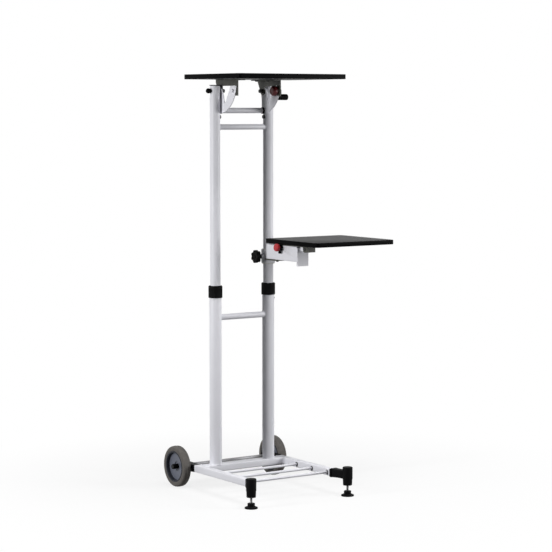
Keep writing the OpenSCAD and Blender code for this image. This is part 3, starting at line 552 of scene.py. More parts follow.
rods_low, rods_high = low("tray_rods"), high("tray_rods")
rod_r = (rods_high.z - rods_low.z) / 2
rod_ys = [rods_low.y + rod_r, mid("tray_rods").y, rods_high.y - rod_r]
grommet_r = extent("rod_grommets").z / 2
grommet_t = 2.5 * MM
rod_z, rod_len = mid("tray_rods").z, rods_high.x - rods_low.x
bm, rubber = bmesh.new(), bmesh.new()
for y in rod_ys:
    rod(bm, rod_r, 0.1 * MM, rod_len - 0.1 * MM, 0.3 * MM, sideways(rods_low.x, y, rod_z))
    for x, along in ((rods_low.x, (1, 0, 0)), (rods_high.x, (-1, 0, 0))):
        turned(rubber, [
            (rod_r + 0.05 * MM, 0, 0), (grommet_r, 0, 0.3 * MM), (grommet_r, 0.5 * grommet_t, 0.8 * MM),
            (grommet_r - 1.4 * MM, grommet_t, 1 * MM), (rod_r + 0.05 * MM, grommet_t, 0.5 * MM),
        ], placed((x, y, rod_z), along))
piece("rods", bm, "tray_rods")
piece("grommets", rubber, "rod_grommets", finish="grommet_rubber")


def posts(nodes, name, radius, wall):
    """The two tubes of the lower or the upper posts."""
    for side, word in SIDES.items():
        node = nodes + word
        bm = bmesh.new()
        place = upright(POST_X[side], MIDDLE.y)
        pipe(bm, radius, radius - wall, low(node).z, high(node).z, 0.4 * MM, place, 96)
        piece(name + word, bm, node)


def crossbar(node, post_r):
    """Bar between two posts with a weld bead at each end."""
    radius, z = extent(node).z / 2, mid(node).z
    sunk = post_r - 2 * MM
    bm = bmesh.new()
    start = POST_X[-1] + sunk
    rod(bm, radius, 0, POST_X[1] - sunk - start, 0.3 * MM, sideways(start, MIDDLE.y, z), 64)
    for side in SIDES:
        bead(bm, saddle(radius + 0.3 * MM, post_r + 0.3 * MM, z, side), 1.3 * MM)
    piece(node + "_bar", bm, node)


posts("outer_post_", "post_lower_", OUTER_R, OUTER_WALL)
crossbar("lower_crossbar", OUTER_R)

# Guide bushes close the mouths of the lower posts under the twist collars
flange_h = high("guide_bushes").z - high("outer_post_left").z
bm = bmesh.new()
for side in SIDES:
    bore = INNER_R + SLIP
    place = upright(POST_X[side], MIDDLE.y, high("outer_post_left").z)
    bush_len = high("outer_post_left").z - low("guide_bushes").z
    sleeve_r = OUTER_R - OUTER_WALL - 0.02 * MM
    turned(bm, [
        (bore, -bush_len, 0.5 * MM), (sleeve_r, -bush_len, 0.8 * MM), (sleeve_r, 0, 0),
        (OUTER_R, 0, 0.3 * MM), (OUTER_R, flange_h, 0.6 * MM), (bore, flange_h, 0.6 * MM),
    ], place)
piece("bushes_guide", bm, "guide_bushes")

dressed("wheel_brackets", 1.3 * MM)

# Axle with its two push-on caps, whose open middle shows the end of the axle
axle = mid("axle")
axle_r = extent("axle").z / 2
bm = bmesh.new()
rod(bm, axle_r, 0, extent("axle").x, 0.8 * MM, sideways(low("axle").x, axle.y, axle.z))
# The axle takes the darker steel: painted shade
piece("axle_rod", bm, "axle", finish="axle_steel_painted_shade")
cap_r = extent("axle_caps").z / 2
cap_len = high("axle_caps").x - high("wheel_bush_right").x - GAP
bm, tips = bmesh.new(), bmesh.new()
for side in SIDES:
    face = high("axle_caps").x if side > 0 else low("axle_caps").x
    place = sideways(face - side * cap_len, axle.y, axle.z, side)
    turned(bm, [
        (axle_r, 0, 0), (cap_r, 0, 0.4 * MM), (cap_r, cap_len, 1.6 * MM), (5 * MM, cap_len, 0.8 * MM),
        (4 * MM, cap_len - 0.9 * MM, 0.3 * MM), (axle_r, cap_len - 1.4 * MM, 0),
    ], place)
    button(tips, [(0, -1 * MM, 0), (4.2 * MM, -1 * MM, 0), (4.2 * MM, 0.7 * MM, 0.5 * MM), (0, 0.9 * MM, 0)],
           sideways(face - side * 1.4 * MM, axle.y, axle.z, side))
piece("caps_axle", bm, "axle_caps")
detail("axle_tips", tips, "base", "bolt_black")

# Elbows: a plug in the rail, a flange on its end, a waisted neck and an upright barrel with a screw on top
FLANGE_LIP = 3 * MM
FLANGE_T = 8 * MM
PLUG_LEN, PLUG_ROOM = 30 * MM, 4 * MM
NECK_H, NECK_W = 29 * MM, 26 * MM
BARREL_R, BARREL_STEP = 16.5 * MM, 20 * MM
INSERT_R = 7 * MM
CAP_SCREW_R = 4.95 * MM
bm = bmesh.new()
barrel_low, barrel_high = low("foot_elbows").z, high("foot_elbows").z
for side, word in SIDES.items():
    rail = "side_rail_" + word
    foot = mid("foot_pad_" + word)
    root = Vector((mid(rail).x, low(rail).y, mid(rail).z))
    w, h = extent(rail).x + 2 * FLANGE_LIP, extent(rail).z + 2 * FLANGE_LIP
    plug_w, plug_h = (v - 2 * FLANGE_LIP - PLUG_ROOM for v in (w, h))
    ahead, behind = placed(root, (0, -1, 0)), placed(root, (0, 1, 0))
    solid(bm, lambda i, z: rect(h - 2 * i, w - 2 * i, 4 * MM, z), 0, FLANGE_T, 1.2 * MM, ahead)
    solid(bm, lambda i, z: rect(plug_h - 2 * i, plug_w - 2 * i, 1.5 * MM, z), 0, PLUG_LEN, 0.8 * MM, behind)
    reach = Vector((foot.x - root.x, foot.y - root.y, 0))
    place = placed(root, reach)
    loops = []
    for k in range(13):
        share = k / 12
        waist = math.sin(math.pi * share) ** 1.5
        z = 2 * MM + share * (reach.length - 6 * MM)
        loops.append(rect(NECK_H - 1.5 * MM * waist, NECK_W - 2 * MM * waist, 4 * MM, z))
    skin(bm, loops, place)
    place = upright(foot.x, foot.y)
    turned(bm, [
        (INSERT_R, barrel_low, 0.4 * MM), (BARREL_R - 1.6 * MM, barrel_low, 1.2 * MM),
        (BARREL_R - 0.9 * MM, barrel_low + BARREL_STEP, 0),
        (BARREL_R, barrel_low + BARREL_STEP + 1 * MM, 0.8 * MM),
        (BARREL_R, barrel_high, 2.6 * MM), (5 * MM, barrel_high - 0.01 * MM, 0),
        (4.9 * MM, barrel_high - 0.5 * MM, 0.2 * MM), (4.7 * MM, barrel_high - 3.4 * MM, 0),
        (INSERT_R, barrel_high - 3.5 * MM, 0),
    ], place)
    button(bm, [
        (0, barrel_high - 3.4 * MM, 0), (CAP_SCREW_R, barrel_high - 3.4 * MM, 0),
        (CAP_SCREW_R, barrel_high - 0.6 * MM, 0.3 * MM), (0, barrel_high - 0.6 * MM, 0),
    ], place, 32)
piece("elbows", bm, "foot_elbows")

stud_r = extent("foot_stud_left").x / 2
bm = bmesh.new()
for side, word in SIDES.items():
    foot, start, end = mid("foot_pad_" + word), low("foot_inserts").z, high("foot_inserts").z
    pipe(bm, INSERT_R, stud_r + SLIP, start, end, 0.5 * MM, upright(foot.x, foot.y))
piece("inserts", bm, "foot_inserts")


THREAD_PITCH, THREAD_DEPTH, THREAD_CHAMFER = 1.25 * MM, 0.62 * MM, 1.2 * MM


def threaded(bm, radius, start, end, place):
    """Threaded rod with a chamfer at each end and five loops to each turn of its thread."""
    loops = []
    count = math.ceil((end - start) / THREAD_PITCH * 5)
    for k in range(count + 1):
        z = start + (end - start) * k / count
        near = min(z - start, end - z)
        top = radius - max(0, THREAD_CHAMFER - near) * 0.8

        def thread(a):
            return min(top, radius - THREAD_DEPTH * abs(2 * ((z / THREAD_PITCH - a / math.tau) % 1) - 1))

        loops.append(ring(thread, z, 28))
    skin(bm, loops, place)


# Feet: a round pad with a hexagon hub round the foot of its stud
HUB_LOW, HUB_ACROSS, HUB_CORNER_R = 9 * MM, 20.8 * MM, 11.9 * MM
STUD_SEAT = 7.7 * MM
for side, word in SIDES.items():
    node = "foot_pad_" + word
    foot, pad_r, pad_top = mid(node), extent(node).x / 2, high(node).z
    bm = bmesh.new()
    flats = hexagon(HUB_ACROSS / 2)
    hub = [ring(lambda a, i=i: min(flats(a), HUB_CORNER_R) - i, z)
           for i, z in edge_insets(HUB_LOW, pad_top, 1.2 * MM)]
    bore = [ring(stud_r + SLIP, pad_top), ring(stud_r + SLIP, STUD_SEAT)]
    # The arc of the last corner is left out, so that the pad runs straight into the hub
    base = [ring(p.x, p.y) for p in rounded([
        (pad_r - 0.6 * MM, 0, 0.5 * MM), (pad_r, 0.8 * MM, 0.6 * MM), (pad_r, 4.4 * MM, 1.4 * MM),
        (pad_r - 5 * MM, 7 * MM, 3 * MM), (12.4 * MM, HUB_LOW, 0.6 * MM),
    ])[:-6]]
    skin(bm, base + hub[1:] + bore, upright(foot.x, foot.y))
    piece("pad_" + word, bm, node)
    node = "foot_stud_" + word
    bm = bmesh.new()
    threaded(bm, stud_r, low(node).z, high(node).z, upright(foot.x, foot.y))
    # The studs take the darker steel: painted shade under the elbow barrels
    piece("stud_" + word, bm, node, finish="steel_painted_shade")

# Small cap screw that limits the travel of the right post
screw = "stop_screw"
bm = bmesh.new()
head_x = POST_X[1] + OUTER_R - 0.2 * MM
head = high(screw).x - head_x
head_r = extent(screw).z / 2
place = sideways(head_x, MIDDLE.y, mid(screw).z)
loops = [ring(r, z) for r, z in (
    (head_r - 0.4 * MM, 0), (head_r, 0.5 * MM), (head_r, head - 1.2 * MM),
    (head_r - 0.5 * MM, head - 0.4 * MM), (head_r - 1.2 * MM, head))]
loops += [ring(hexagon(1.7 * MM), head - 0.05 * MM), ring(hexagon(1.6 * MM), head - 2 * MM)]
skin(bm, loops, place)
piece("screw_stop", bm, screw, slot="bolt_black")


# ---------------------------------------------------------------- wheels

HUB_R, RIM_RING_T, WEB_T = 15 * MM, 6 * MM, 4 * MM

for side, word in SIDES.items():
    rim, tyre, bush = (n + word for n in ("wheel_rim_", "tyre_", "wheel_bush_"))
    inner = low(tyre).x if side > 0 else high(tyre).x
    place = sideways(inner, mid(rim).y, mid(rim).z, side)
    width, rim_r, tyre_r = extent(tyre).x, extent(rim).z / 2, extent(tyre).z / 2
    hub_ends = sorted(abs(v - inner) for v in (low(bush).x, high(bush).x))
    hub_bore = extent(bush).z / 2
    web = ((width - WEB_T) / 2, (width + WEB_T) / 2)
    well_r = rim_r - RIM_RING_T

    # Hub and web, then the ring that carries the tyre, painted near-black as the shade in the wheel's recess
    bm = bmesh.new()
    turned(bm, [
        (hub_bore, hub_ends[0], 0.3 * MM), (HUB_R, hub_ends[0], 1.2 * MM), (HUB_R, web[0], 2 * MM),
        (well_r + 0.5 * MM, web[0], 0), (well_r + 0.5 * MM, web[1], 0),
        (HUB_R, web[1], 2 * MM), (HUB_R, hub_ends[1], 1.2 * MM), (hub_bore, hub_ends[1], 0.3 * MM),
    ], place, 128)
    piece("rim_disc_" + word, bm, rim)
    bm = bmesh.new()
    turned(bm, [
        (well_r, web[0] - 1 * MM, 0.5 * MM), (well_r + 1.2 * MM, 0.2 * MM, 0.8 * MM),
        (rim_r - 0.05 * MM, 0.2 * MM, 0.5 * MM), (rim_r - 0.05 * MM, width - 0.2 * MM, 0.5 * MM),
        (well_r + 1.2 * MM, width - 0.2 * MM, 0.8 * MM), (well_r, web[1] + 1 * MM, 0.5 * MM),
    ], place, 128)
    piece("rim_well_" + word, bm, rim, finish="rim_painted_shade")

    # Tyre with a lip over the rim and a fine mould line round its tread
    bm = bmesh.new()
    turned(bm, [
        (rim_r, 0.9 * MM, 0.3 * MM), (rim_r + 1.5 * MM, 0.9 * MM, 0.3 * MM), (rim_r + 2.4 * MM, 0, 0.8 * MM),
        (tyre_r - 0.8 * MM, 0, 7.5 * MM), (tyre_r - 0.3 * MM, width * 0.46, 0),
        (tyre_r, width * 0.48, 0.1 * MM), (tyre_r, width * 0.52, 0.1 * MM),
        (tyre_r - 0.3 * MM, width * 0.54, 0), (tyre_r - 0.8 * MM, width, 7.5 * MM),
        (rim_r + 2.4 * MM, width, 0.8 * MM), (rim_r + 1.5 * MM, width - 0.9 * MM, 0.3 * MM),
        (rim_r, width - 0.9 * MM, 0.3 * MM),
    ], place, 128)
    piece("tyre_ring_" + word, bm, tyre)
    bm = bmesh.new()
    pipe(bm, hub_bore - 0.02 * MM, axle_r + SLIP, hub_ends[0], hub_ends[1], 0.3 * MM, place)
    piece("bush_" + word, bm, bush)


# ---------------------------------------------------------------- twist collars

FLUTES, FLUTE_DEPTH, FLUTE_STEPS = 26, 0.9 * MM, 208
COLLAR_LIP = 4.7 * MM

for side, word in SIDES.items():
    node = "lock_collar_" + word
    start, end, radius = low(node).z, high(node).z, extent(node).x / 2
    bm = bmesh.new()
    loops = []
    for inset, z, fluting in (
        (0.9, start, 0), (0.2, start + 0.8 * MM, 0), (0, start + 4 * MM, 0), (0, start + 4.4 * MM, 0),
        (0, start + 6.5 * MM, 1), (0, end - 9.5 * MM, 1), (0, end - 7.5 * MM, 0), (0, end - 7 * MM, 0),
        (0, end - 3.2 * MM, 0), (0.5, end - 1.8 * MM, 0), (1.6, end - 0.5 * MM, 0), (2.6, end, 0),
    ):
        loops.append(ring(fluted(radius - inset * MM, FLUTES, FLUTE_DEPTH * fluting), z, FLUTE_STEPS))
    mouth_r, shoulder = INNER_R + 0.3 * MM, end - COLLAR_LIP
    loops += [ring(r, z, FLUTE_STEPS) for r, z in (
        (INNER_R + 0.8 * MM, end), (mouth_r, end - 0.6 * MM), (mouth_r, shoulder),
        (OUTER_R + SLIP, shoulder), (OUTER_R + SLIP, start + 0.5 * MM), (OUTER_R + 0.6 * MM, start))]
    skin(bm, loops, upright(POST_X[side], MIDDLE.y), closed=True)
    piece("twist_" + word, bm, node)


# ---------------------------------------------------------------- upper frame

posts("inner_post_", "post_upper_", INNER_R, INNER_WALL)
crossbar("upper_crossbar", INNER_R)
dressed("slider_bushes", 0.5 * MM)

bm = bmesh.new()
cap_low, cap_high = high("inner_post_left").z, high("post_caps").z
plug_r, plug_low = INNER_R - INNER_WALL - SLIP, cap_low - 6 * MM
for side in SIDES:
    button(bm, [
        (0, plug_low, 0), (plug_r, plug_low, 0.8 * MM),
        (plug_r, cap_low, 0), (INNER_R + 1 * MM, cap_low, 0.2 * MM),
        (INNER_R + 1 * MM, cap_high, 0.7 * MM), (0, cap_high, 0),
    ], upright(POST_X[side], MIDDLE.y), 64)
piece("caps_post", bm, "post_caps")

bar_low, bar_high, bar_r = low("head_crossbar"), high("head_crossbar"), extent("head_crossbar").z / 2
bar_z = mid("head_crossbar").z
bm, ends = bmesh.new(), bmesh.new()
rod(bm, bar_r, 0, bar_high.x - bar_low.x, 0.4 * MM, sideways(bar_low.x, MIDDLE.y, bar_z), 64)
piece("bar_head", bm, "head_crossbar")
for x, along in ((bar_low.x, (1, 0, 0)), (bar_high.x, (-1, 0, 0))):
    turned(ends, [
        (bar_r + 0.02 * MM, 0, 0), (bar_r + 2 * MM, 0, 0.5 * MM), (bar_r + 2 * MM, 5 * MM, 1 * MM),
        (bar_r + 0.8 * MM, 7 * MM, 0.6 * MM), (bar_r + 0.02 * MM, 7 * MM, 0.3 * MM),
    ], placed((x, MIDDLE.y, bar_z), along))
detail("bar_head_ends", ends, "upper_frame", "black_plastic")

for word in SIDES.values():
    dressed("yoke_plate_" + word, 0.6 * MM)

# Weld seams down both sides of the line where a yoke plate touches its post
PIVOT = mid("pivot_caps")
bm = bmesh.new()
for side, word in SIDES.items():
    x = POST_X[side] - side * (INNER_R - 0.5 * MM)
    for y in (MIDDLE.y - 5.5 * MM, MIDDLE.y + 5.5 * MM):
        seam(bm, Vector((x, y, low("yoke_plate_" + word).z + 6 * MM)), Vector((x, y, PIVOT.z - 12 * MM)))
detail("yoke_seams", bm, "upper_frame", "frame_white")


def hex_head(bm, x, y, z, side, height, across=12.0 * MM, washer=1.2 * MM):
    """Hexagon head with rounded corners on a washer or sleeve, standing out from a face along X."""
    place = sideways(x, y, z, side)
    if washer:
        rod(bm, across / 2 + 1 * MM, 0, washer, 0.3 * MM, place)
    six = hexagon(across / 2)
    corner = across / 2 / math.cos(math.pi / 6)
    loops = []
    for inset, level in ((0, washer), (0, height - 1.3 * MM), (0.45 * MM, height - 0.7 * MM),
                         (1.2 * MM, height - 0.1 * MM), (1.6 * MM, height)):
        loops.append(ring(lambda a, i=inset: min(six(a), corner - i), level))
    skin(bm, loops, place)


def shank(bm, x0, x1, y, z, radius=BOLT_R):
    """Bolt's shank along X between two faces."""
    rod(bm, radius, 0, abs(x1 - x0), 0.5 * MM, sideways(min(x0, x1), y, z), 32)


# Pivot bolts, with a head and a sleeve on the inner side of each bracket
bm = bmesh.new()
bracket_face = abs(low("table_bracket_left").x - MIDDLE.x)
yoke_out = abs(low("yoke_plate_left").x - MIDDLE.x)
yoke_in = abs(high("yoke_plate_left").x - MIDDLE.x)
head_face = bracket_face - (yoke_out - yoke_in) - GAP
for side in SIDES:
    face = MIDDLE.x + side * head_face
    hex_head(bm, face, MIDDLE.y, PIVOT.z, -side, 12 * MM, washer=5.5 * MM)
    shank(bm, face, POST_X[side] + side * (INNER_R + 2.5 * MM), MIDDLE.y, PIVOT.z)
piece("bolts_pivot", bm, "pivot_bolts", slot="bolt_black")

# Capped nuts on the outer ends of the pivot bolts
bm = bmesh.new()
cap_end = high("pivot_caps").x - POST_X[1] - INNER_R
for side in SIDES:
    place = sideways(POST_X[side] + side * INNER_R, MIDDLE.y, PIVOT.z, side)
    cap_r = extent("pivot_caps").z / 2
    loops = [ring(6.6 * MM, 0), ring(6.6 * MM, 1.6 * MM)]
    for k in range(15):
        a = math.radians(-48 + 134 * k / 14)
        loops.append(ring(cap_r * math.cos(a), cap_end - cap_r + cap_r * math.sin(a)))
    skin(bm, loops, place)
piece("caps_pivot", bm, "pivot_caps")

# Bolts through the posts under the yoke plates, and the bolt that guides the left bracket's slot
bm = bmesh.new()
lower_z = low("plate_bolts").z + 7 * MM
for side in SIDES:
    face = MIDDLE.x + side * (yoke_out + 1.5 * MM)
    hex_head(bm, face, MIDDLE.y, lower_z, -side, 5.5 * MM)
    shank(bm, face, POST_X[side] + side * (INNER_R - 0.5 * MM), MIDDLE.y, lower_z)
piece("bolts_plate", bm, "plate_bolts", slot="bolt_black")
clamp = mid("table_clamp_cap")
bm = bmesh.new()
hex_head(bm, MIDDLE.x - head_face, clamp.y, clamp.z, 1, 3 * MM, washer=0)
shank(bm, MIDDLE.x - head_face, MIDDLE.x - yoke_out - 1 * MM, clamp.y, clamp.z)
hex_head(bm, MIDDLE.x - yoke_out, clamp.y, clamp.z, -1, 6 * MM)
piece("bolt_guide", bm, "plate_bolts", slot="bolt_black", finish="frame_white")


# ---------------------------------------------------------------- table and shelf boards

EDGING_T = 2.5 * MM
BOARD_CORNER = 12 * MM


def board(board_node, edge_node):
    """Laminated board with a pushed-in edging strip that has a crowned face and a fine groove."""
    centre, size = mid(edge_node), extent(edge_node)
    z0, z1 = low(edge_node).z, high(edge_node).z

    def loop(inset, z):
        outline = rect(size.x - 2 * inset, size.y - 2 * inset, BOARD_CORNER - inset, z, 10)
        return [p + Vector((centre.x, centre.y, 0)) for p in outline]

    bm = bmesh.new()
    solid(bm, lambda i, z: loop(EDGING_T + i, z), z0, z1, 0.35 * MM)
    piece(board_node + "_panel", bm, board_node)
    bm = bmesh.new()
    groove = z0 + (z1 - z0) * 0.62
    outside = [(1.6, z0 + 0.05 * MM), (0.8, z0 + 0.3 * MM), (0.25, z0 + 0.9 * MM), (0, z0 + 2.2 * MM),
               (0, groove - 0.5 * MM), (0.35, groove), (0, groove + 0.5 * MM),
               (0, z1 - 2.2 * MM), (0.25, z1 - 0.9 * MM), (0.8, z1 - 0.3 * MM), (1.6, z1 - 0.05 * MM)]
    loops = [loop(inset * MM, z) for inset, z in outside]
    loops += [loop(EDGING_T - 0.15 * MM, z1 - 0.3 * MM), loop(EDGING_T, z1 - 0.7 * MM),
              loop(EDGING_T, z0 + 0.7 * MM), loop(EDGING_T - 0.15 * MM, z0 + 0.3 * MM)]
    skin(bm, loops, closed=True)
    piece(edge_node + "_strip", bm, edge_node, slot="edging_black")


board("table_board", "table_edge")
board("shelf_board", "shelf_edge")


def cross_screw(bm, place, head_r, head_h, length):
    """Pan-head screw with a cross recess; its head is below the local origin and its shank above."""
    shank_r = 2.9 * MM
    loops = [ring(cross(head_r * 0.46, head_r * 0.11), -head_h + 1.3 * MM),
             ring(cross(head_r * 0.5, head_r * 0.13), -head_h + 0.15 * MM)]
    dome = ((0.6, 1.0), (0.8, 0.9), (0.93, 0.7), (1.0, 0.35), (1.0, 0.05), (0.97, 0))
    loops += [ring(r * head_r, -head_h * z) for r, z in dome]
    loops += [ring(shank_r, 0), ring(shank_r, length)]
    skin(bm, loops, place)


def screws(name, node, head_r, head_h):
    """The four screws of a screws node, at the corners of its box."""
    lo, hi, r = low(node), high(node), 6 * MM
    under = lo.z + head_h
    bm = bmesh.new()
    for x in (lo.x + r, hi.x - r):
        for y in (lo.y + r, hi.y - r):
            cross_screw(bm, upright(x, y, under), head_r, head_h, hi.z - under)
    piece(name, bm, node)


screws("screws_table", "table_screws", 6 * MM, 3 * MM)
screws("screws_shelf", "shelf_screws", 5.9 * MM, 2 * MM)

for word in SIDES.values():
    dressed("table_bracket_" + word, 0.6 * MM)


# ---------------------------------------------------------------- table clamp


def clamp_cap(name, node, finish=None):
    """Red cap with a rounded rim, a ring groove and a slightly dished face, which looks along -X."""
    start, depth, body_r = high(node).x, extent(node).x, extent(node).z / 2
    bm = bmesh.new()
    button(bm, [
        (0, 0, 0), (body_r - 0.8 * MM, 0, 0.3 * MM), (body_r - 0.8 * MM, 1.2 * MM, 0.3 * MM),
        (body_r, 1.8 * MM, 0.5 * MM), (body_r, depth * 0.72, 4 * MM), (body_r * 0.68, depth, 3 * MM),
        (body_r * 0.60, depth, 0.4 * MM),
        (body_r * 0.56, depth - 0.7 * MM, 0.3 * MM), (body_r * 0.50, depth - 0.7 * MM, 0.3 * MM),
        (body_r * 0.46, depth - 0.1 * MM, 0.4 * MM), (0, depth - 0.6 * MM, 0),
    ], sideways(start, mid(node).y, mid(node).z, -1), 72)
    piece(name, bm, node, finish=finish)


# The table clamp's cap takes the darker red: painted shade, as it sits in the shade of the left post and yoke
clamp_cap("cap_table_clamp", "table_clamp_cap", "cap_red_painted_shade")

# Crank on the clamp's bolt, with a ribbed grip
node = "table_clamp_crank"
CRANK_THROW, CRANK_T, GRIP_R = 20 * MM, 8 * MM, 10 * MM
boss_r = extent(node).y / 2
crank_face = MIDDLE.x + yoke_out + GAP
grip_start = crank_face + CRANK_T
grip_len = high(node).x - grip_start
bm = bmesh.new()
shank(bm, low(node).x, MIDDLE.x + yoke_out + 2 * MM, clamp.y, clamp.z, BOLT_R - SLIP)
place = sideways(crank_face, clamp.y, clamp.z)


def crank_outline(inset, z):
    """Two round ends, one above the other, joined by straight sides; the local X axis points up."""
    r, loop = boss_r - inset, []
    for first, drop in ((-math.pi / 2, 0), (math.pi / 2, -CRANK_THROW)):
        for i in range(24):
            a = first + math.pi * i / 23
            loop.append(Vector((drop + r * math.cos(a), r * math.sin(a), z)))
    return loop


solid(bm, crank_outline, 0, CRANK_T, 1.2 * MM, place)
hex_head(bm, grip_start - 0.6 * MM, clamp.y, clamp.z, 1, 3.4 * MM, 11 * MM, washer=0)
grip = sideways(grip_start, clamp.y, clamp.z - CRANK_THROW)
neck_r, groove_r = GRIP_R * 0.8, GRIP_R - 0.8 * MM
ridges = [(0, -1 * MM, 0), (neck_r, -1 * MM, 0.3 * MM), (neck_r, 1.4 * MM, 0.4 * MM),
          (GRIP_R, 2.2 * MM, 0.8 * MM)]
for k in range(5):
    z = grip_len * (0.18 + 0.13 * k)
    ridges += [(GRIP_R, z, 0.4 * MM), (groove_r, z + 0.7 * MM, 0.3 * MM), (groove_r, z + 1.5 * MM, 0.3 * MM),
               (GRIP_R, z + 2.2 * MM, 0.4 * MM)]
ridges += [(GRIP_R, grip_len - 1.5 * MM, 3 * MM), (GRIP_R * 0.6, grip_len, 2 * MM), (0, grip_len, 0)]
button(bm, ridges, grip, 64)
piece("crank_table_clamp", bm, node)


# ---------------------------------------------------------------- arm

dressed("arm_bush_rings", 0.5 * MM)
dressed("arm_collar", 0.8 * MM)

ARM_WALL, ARM_CORNER = 2 * MM, 3.5 * MM
SLOT_L, SLOT_W = 50 * MM, 7 * MM
node = "arm_tube"
arm_low, arm_high, arm_size = low(node), high(node), extent(node)
arm_x = mid(node).x
collar_r = extent("arm_collar").y / 2
bm = bmesh.new()
arm_len = MIDDLE.y - collar_r + 3 * MM - arm_low.y
front = Vector((arm_x, arm_low.y, mid(node).z))
box_tube(bm, front, (0, 1, 0), arm_len, arm_size.x, arm_size.z, ARM_WALL, ARM_CORNER)
arm = piece("arm_box", bm, node)

# Slot in its top and bore through its sides for the shelf's clamp
slot_cut = bmesh.new()
clamp_at = mid("shelf_clamp_cap")
place = Matrix.Translation((arm_x, clamp_at.y, 0)) @ Matrix.Rotation(math.pi / 2, 4, "Z")
solid(slot_cut, lambda i, z: rect(SLOT_L, SLOT_W, 1 * MM, z), arm_high.z - 6 * MM, arm_high.z + 6 * MM,
      0.1 * MM, place)
cut(arm, slot_cut)
bore_cut = bmesh.new()
rod(bore_cut, BOLT_R + SLIP, -30 * MM, 30 * MM, 0.1 * MM, sideways(arm_x, clamp_at.y, clamp_at.z))
cut(arm, bore_cut)

dressed("arm_end_plate", 0.7 * MM)
dressed("arm_gusset", 0.5 * MM)

# Cap screw at the outer front corner of the gusset, under the arm
corner = low("arm_gusset")
place = placed((corner.x + 4.5 * MM, corner.y + 5 * MM, corner.z + 0.2 * MM), (0, 0, -1))
loops = [ring(r * MM, z * MM) for r, z in ((3.9, 0), (4.2, 0.3), (4.2, 2.6), (3.6, 3.2), (2.4, 3.2))]
loops += [ring(hexagon(1.6 * MM), 3.15 * MM), ring(hexagon(1.5 * MM), 1.5 * MM)]
bm = bmesh.new()
skin(bm, loops, place)
detail("gusset_screw", bm, "arm", "bolt_black")

# Hinge pin of the shelf, with a button head at each end
pin = mid("hinge_pin")
bm = bmesh.new()
half = extent("hinge_pin").x / 2
for sign in (-1, 1):
    button(bm, [
        (0, half - 2 * MM, 0), (5.9 * MM, half - 2 * MM, 0.3 * MM), (5.9 * MM, half - 1 * MM, 0.8 * MM),
        (3.4 * MM, half, 1 * MM), (0, half, 0),
    ], placed(pin, (sign, 0, 0)))
rod(bm, BOLT_R, -half + 1.5 * MM, half - 1.5 * MM, 0.2 * MM, placed(pin, (1, 0, 0)))
piece("pin_hinge", bm, "hinge_pin", finish="bolt_black")

# Star knob: lobes, a dished face and a stem that reaches the collar
node = "star_knob"
knob_face = low(node).x
knob = mid("knob_screw")
STAR_T, STAR_EDGE, STAR_STEPS = 16 * MM, 2.6 * MM, 140
LOBES, CORE_R, TIP_R = 7, 17.6 * MM, 22 * MM
DISH_R = 9 * MM


def star(a):
    """Radius of the lobed outline at an angle."""
    wave = 0.5 + 0.5 * math.cos(LOBES * a - 0.25 * math.tau)
    return CORE_R + (TIP_R - CORE_R) * wave**0.75


def star_ring(inset, z):
    return ring(lambda a: star(a) - inset, z, STAR_STEPS)


bm = bmesh.new()
place = sideways(knob_face + STAR_T, MIDDLE.y, knob.z, -1)
loops = [star_ring(inset, z) for inset, z in edge_insets(0, STAR_T, STAR_EDGE, 5)]
loops += [ring(lambda a, s=share: DISH_R + (star(a) - STAR_EDGE - DISH_R) * s, STAR_T - drop, STAR_STEPS)
          for share, drop in ((0.6, 0.1 * MM), (0.25, 0.5 * MM))]
loops += [ring(r, STAR_T - drop * MM, STAR_STEPS)
          for r, drop in ((DISH_R, 1.2), (7.5 * MM, 1.5), (6.8 * MM, 0.6), (5.6 * MM, 0.3))]
skin(bm, loops, place)
button(bm, [(0, -6 * MM, 0), (7.6 * MM, -6 * MM, 1 * MM), (9 * MM, 1 * MM, 0.5 * MM), (0, 1 * MM, 0)], place)
piece("knob_star", bm, node)

bm = bmesh.new()
screw = low("knob_screw")
threaded(bm, extent("knob_screw").z / 2, 0, extent("knob_screw").x, sideways(screw.x, MIDDLE.y, knob.z))
piece("screw_knob", bm, "knob_screw", slot="bolt_black")


# ---------------------------------------------------------------- shelf carrier and clamp

dressed("shelf_bracket", 0.6 * MM)
clamp_cap("cap_shelf_clamp", "shelf_clamp_cap")

# Knob of the shelf's clamp: a fluted body on the bolt, with a lever that hangs down
node = "shelf_clamp_knob"
body_face = low(node).x
body_t = arm_low.x - GAP - body_face
body_r = extent(node).y / 2
bm = bmesh.new()
place = sideways(body_face, clamp_at.y, clamp_at.z)
loops = []
for inset, z in edge_insets(0, body_t, 1.2 * MM):
    loops.append(ring(fluted(body_r - inset, 18, 0.8 * MM), z, 144))
skin(bm, loops, place)
lever = placed((body_face + body_t / 2, clamp_at.y, clamp_at.z), (0, 0, -1))
lever_end = clamp_at.z - low(node).z
button(bm, [
    (0, 5 * MM, 0), (4.5 * MM, 5 * MM, 0), (4.2 * MM, 0.6 * lever_end, 3 * MM),
    (4.6 * MM, 0.8 * lever_end, 4 * MM), (4.6 * MM, lever_end, 3.4 * MM), (0, lever_end, 0),
], lever, 32)
far = arm_high.x + GAP
shank(bm, body_face + body_t - 1 * MM, far, clamp_at.y, clamp_at.z)
hex_head(bm, far, clamp_at.y, clamp_at.z, 1, high(node).x - far, 12 * MM, washer=0)
piece("knob_shelf_clamp", bm, node)


# ---------------------------------------------------------------- floor, light and camera


def seen_ray(tree):
    """1 for camera, glossy and transmission rays."""
    path = tree.nodes.new("ShaderNodeLightPath")
    total = path.outputs["Is Camera Ray"]
    for name in ("Is Glossy Ray", "Is Transmission Ray"):
        add = tree.nodes.new("ShaderNodeMath")
        add.operation = "MAXIMUM"
        link(tree, total, add.inputs[0])
        link(tree, path.outputs[name], add.inputs[1])
        total = add.outputs[0]
    return total


